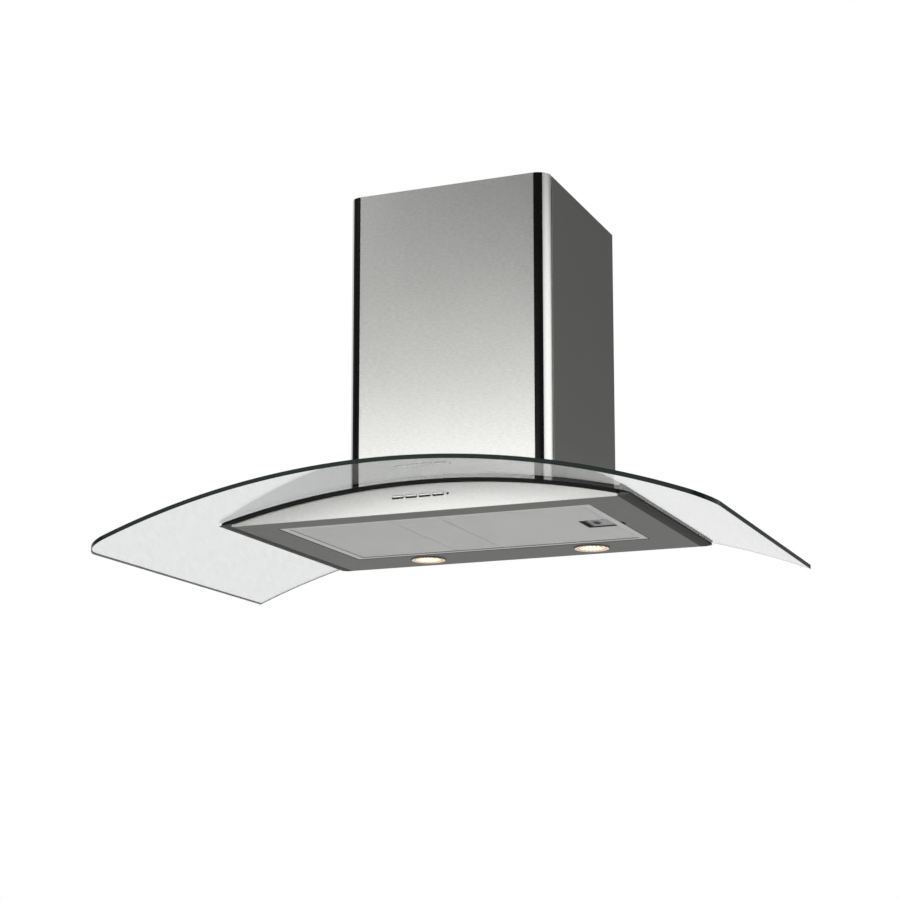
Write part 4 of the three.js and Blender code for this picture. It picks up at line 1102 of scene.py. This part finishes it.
class HOOD_OT_chimney(Operator):
    """Build the chimney's front cover, its trims, its side panels and the upper cover"""

    bl_idname = "hood.chimney"
    bl_label = "Chimney"

    def execute(self, context):
        edge = context.scene.hood_steel.edge_radius
        self.build_front(edge)
        for side in (-1, 1):
            self.build_trim(side)
            self.build_side(side, edge)
        self.build_upper(edge)
        return {"FINISHED"}

    def corner(self, side, radius, start, end, steps):
        """Plan points round a front corner, between two angles from the front."""
        centre_x = COVER_HIGH.x - CORNER_RADIUS
        points = arc((centre_x, COVER_HIGH.y), radius, 270 + start, 270 + end, steps)
        return [(side * x, y) for x, y in points]

    def build_front(self, edge):
        """The cover's front and its two rounded corners, each with a recess for its dark trim."""
        sheet = 2 * MM
        recess, full, inner = CORNER_RADIUS - TRIM_DEPTH, CORNER_RADIUS, CORNER_RADIUS - sheet
        flat = span(-COVER_HIGH.x + full, COVER_HIGH.x - full, 24)[1:-1]
        plan = []
        for edge_y, first, under_trim, beside in (
                (COVER_LOW.y, full, recess, full), (COVER_LOW.y + sheet, inner, inner, inner)):
            right = self.corner(1, first, 0, 0.01, 1)[:1]
            right += self.corner(1, under_trim, 0, TRIM_END, 8) + self.corner(1, beside, TRIM_END, 90, 8)
            plan.append(mirror_back(right) + [(x, edge_y) for x in flat] + right)
        bm = upright_sheet(*plan, chimney_foot, COVER_HIGH.z)
        cover = mesh_object("chimney_front_cover", bm, [MATERIALS["brushed_steel"]])
        round_edges(cover, edge, 2, 50.0)
        settle(cover, "hood", "brushed_steel", "lower_chimney_front")

    def build_trim(self, side):
        name = "left" if side < 0 else "right"
        slack = 1.0
        outer = self.corner(side, CORNER_RADIUS, slack, TRIM_END - slack, 12)
        inner = self.corner(side, CORNER_RADIUS - 0.8 * MM, slack, TRIM_END - slack, 12)
        bm = upright_sheet(outer, inner, chimney_foot, COVER_HIGH.z)
        strip = mesh_object(f"chimney_black_strip_{name}", bm, [MATERIALS["black_trim"]])
        round_edges(strip, 0.25 * MM, 2, 50.0)
        settle(strip, "hood", "black_trim", f"chimney_trim_{name}")

    def build_side(self, side, edge):
        name = "left" if side < 0 else "right"
        low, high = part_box(f"chimney_side_{name}")
        reach, sheet = max(abs(low.x), abs(high.x)), 1.0 * MM
        lip, joggle = 4.4 * MM, 8 * MM
        front, back = low.y + joggle, high.y
        lip_outer, lip_inner, fold = reach - lip, reach - lip - 0.8 * MM, reach - 15 * MM
        outer = [(lip_outer, low.y), (lip_outer, front), (reach, front), (reach, back), (fold, back)]
        inner = [
            (lip_inner, low.y), (lip_inner, front + sheet), (reach - sheet, front + sheet),
            (reach - sheet, back - sheet), (fold, back - sheet),
        ]
        mirrored = [[(side * x, y) for x, y in line] for line in (outer, inner)]
        bm = upright_sheet(*mirrored, chimney_foot, high.z)
        # the side panels get the brushed steel darkened as painted shade
        panel = mesh_object(f"chimney_side_panel_{name}", bm, [MATERIALS["side_steel_painted_shade"]])
        round_edges(panel, edge, 2, 50.0)
        settle(panel, "hood", "brushed_steel", f"chimney_side_{name}")

    def build_upper(self, edge):
        """The telescopic cover, with its back edges folded inwards."""
        half, depth, corner, sheet = UPPER_HIGH.x, UPPER_LOW.y, 14 * MM, 1 * MM
        back, fold = UPPER_HIGH.y, 137 * MM
        centre = (half - corner, depth + corner)
        plan = []
        for inset in (0, sheet):
            right = arc(centre, corner - inset, 270, 360, 10) + [(half - inset, back - inset), (fold, back - inset)]
            plan.append(mirror_back(right) + right)
        bm = upright_sheet(*plan, lambda x: UPPER_LOW.z, UPPER_HIGH.z)
        cover = mesh_object("chimney_upper_cover", bm, [MATERIALS["brushed_steel"]])
        round_edges(cover, edge, 2, 50.0)
        settle(cover, "upper_cover", "brushed_steel", "upper_chimney_cover")


# ---- pieces that keep the frame's own shape ----


class HOOD_OT_inner_parts(Operator):
    """Give every node that stays in view its finish and soft edges"""

    bl_idname = "hood.inner_parts"
    bl_label = "Inner parts"

    def execute(self, context):
        finish = {part["node"]: part["material_slot"] for part in frame["record"]["subparts"]}
        for name, node in frame["nodes"].items():
            if node.hide_render:
                continue
            material = MATERIALS[finish[name]]
            # the side rails get the hull steel darkened as painted shade
            if name.startswith("side_rail"):
                material = MATERIALS["hull_steel_painted_shade"]
            node.data.materials.clear()
            node.data.materials.append(material)
            weld = node.modifiers.new("weld", "WELD")
            weld.merge_threshold = 0.005 * MM
            round_edges(node, 0.3 * MM, 2, 35.0)
        return {"FINISHED"}


# ---- stage ----

CAMERA_PLACE = Vector((1.098, -2.951, -0.776))
CAMERA_TURN = math.radians(22.4)
CAMERA_TILT = math.radians(9.22)
CAMERA_LENS = 82.9
CAMERA_RISE = 0.15


class HOOD_OT_stage(Operator):
    """Build the floor, the lights and the camera"""

    bl_idname = "hood.stage"
    bl_label = "Stage"

    def execute(self, context):
        settings = context.scene.hood_stage
        self.build_floor(settings.floor_drop)
        self.build_flag()
        self.build_world(context.scene, settings.backdrop)
        self.build_lights()
        self.build_camera(context.scene)
        context.scene.view_settings.view_transform = "Standard"
        return {"FINISHED"}

    def build_floor(self, drop):
        bm = bmesh.new()
        bmesh.ops.create_circle(bm, cap_ends=True, segments=96, radius=40.0)
        paint = moulded("pale_floor", (0.88, 0.88, 0.875), 0.6, 0.8, 30.0, bump=0.0)
        floor = mesh_object("pale_floor", bm, [paint])
        floor.location.z = UNDERSIDE - drop

    def build_flag(self):
        """A black card, low in front, that only reflections see."""
        bm = bmesh.new()
        add_box(bm, (-3.0, -2.02, -1.5), (1.2, -2.0, -0.34))
        cloth = moulded("black_flag", (0.03, 0.03, 0.03), 0.8, 0.9, 30.0, bump=0.0)
        flag = mesh_object("black_flag", bm, [cloth])
        flag.visible_camera = flag.visible_shadow = False
        flag.visible_diffuse = flag.visible_transmission = False

    def build_world(self, scene, strength):
        """White all round, with a dim ceiling that only reflections see, less dim at the back left."""
        world = bpy.data.worlds.new("studio")
        world.use_nodes = True
        tree = world.node_tree
        background = tree.nodes["Background"]
        path = tree.nodes.new("ShaderNodeLightPath")
        direction = tree.nodes.new("ShaderNodeSeparateXYZ")
        feed(tree, direction.inputs[0], tree.nodes.new("ShaderNodeTexCoord").outputs["Generated"])
        sideways = add_sum(tree, direction.outputs["X"], 0.8, direction.outputs["Y"], -0.6)
        dim_side = add_range(tree, sideways, -0.88, -0.58, 0.0, 1.0)
        ceiling = add_range(tree, direction.outputs["Z"], 0.0, 0.2, 0.0, 0.87)
        low_front = add_range(tree, direction.outputs["Y"], -0.6, -0.2, 0.5, 0.0)
        dimming = add_math(tree, "MAXIMUM", ceiling, low_front)
        dimming = add_math(tree, "MULTIPLY", dimming, dim_side)
        dimming = add_math(tree, "MULTIPLY", dimming, path.outputs["Is Glossy Ray"])
        brightness = add_math(tree, "SUBTRACT", 1.0, dimming)
        colour = tree.nodes.new("ShaderNodeCombineColor")
        for label in ("Red", "Green", "Blue"):
            feed(tree, colour.inputs[label], brightness)
        feed(tree, background.inputs["Color"], colour.outputs[0])
        background.inputs["Strength"].default_value = strength
        scene.world = world

    def build_lights(self):
        lights = [
            ("low_card", (-0.25, -1.45, -0.03), (-0.25, 0.0, -0.03), (1.7, 0.42), 5.0),
            ("high_card", (-0.45, -1.5, 0.36), (-0.45, 0.0, 0.36), (1.0, 0.36), 0.55),
            ("side_card", (1.3, 0.0, 0.2), (0.155, 0.0, 0.2), (1.9, 0.9), 8.0),
            ("key", (-1.6, -1.8, 1.6), (0.0, -0.2, 0.0), (1.2, 1.2), 8.0),
        ]
        for name, place, target, size, power in lights:
            light = bpy.data.lights.new(name, "AREA")
            light.shape = "RECTANGLE"
            light.size, light.size_y = size
            light.energy = power
            holder = bpy.data.objects.new(name, light)
            holder.location = place
            aim = Vector(target) - Vector(place)
            holder.rotation_euler = aim.to_track_quat("-Z", "Y").to_euler()
            holder.visible_camera = False
            bpy.context.scene.collection.objects.link(holder)

    def build_camera(self, scene):
        camera = bpy.data.cameras.new("camera")
        camera.lens = CAMERA_LENS
        camera.sensor_width = 36.0
        camera.shift_y = CAMERA_RISE
        camera.clip_end = 60.0
        holder = bpy.data.objects.new("camera", camera)
        holder.location = CAMERA_PLACE
        holder.rotation_euler = (math.pi / 2 + CAMERA_TILT, 0.0, CAMERA_TURN)
        scene.collection.objects.link(holder)
        scene.camera = holder


# ---- panel and registration ----

STEPS = (
    HOOD_OT_canopy, HOOD_OT_hull, HOOD_OT_filter, HOOD_OT_lamps, HOOD_OT_controls,
    HOOD_OT_chimney, HOOD_OT_inner_parts, HOOD_OT_stage,
)
SETTINGS = {
    "hood_steel": HoodSteelSettings,
    "hood_canopy": HoodCanopySettings,
    "hood_filter": HoodFilterSettings,
    "hood_lamps": HoodLampSettings,
    "hood_stage": HoodStageSettings,
}


class HOOD_PT_panel(Panel):
    """Lists the steps that build the hood, with its settings"""

    bl_idname = "HOOD_PT_panel"
    bl_label = "Chimney hood"
    bl_space_type = "VIEW_3D"
    bl_region_type = "UI"
    bl_category = "Hood"

    def draw(self, context):
        for name in SETTINGS:
            group = getattr(context.scene, name)
            column = self.layout.column(align=True)
            for key in group.bl_rna.properties.keys():
                if key not in ("rna_type", "name"):
                    column.prop(group, key)
        for step in STEPS:
            self.layout.operator(step.bl_idname)


def register():
    for group in SETTINGS.values():
        bpy.utils.register_class(group)
    for step in STEPS:
        bpy.utils.register_class(step)
    bpy.utils.register_class(HOOD_PT_panel)
    for name, group in SETTINGS.items():
        setattr(bpy.types.Scene, name, PointerProperty(type=group))


def unregister():
    for name in SETTINGS:
        delattr(bpy.types.Scene, name)
    bpy.utils.unregister_class(HOOD_PT_panel)
    for step in reversed(STEPS):
        bpy.utils.unregister_class(step)
    for group in SETTINGS.values():
        bpy.utils.unregister_class(group)


def main():
    register()
    MATERIALS.update(make_materials())
    for step in STEPS:
        family, action = step.bl_idname.split(".")
        getattr(getattr(bpy.ops, family), action)()


if __name__ == "__main__":
    main()
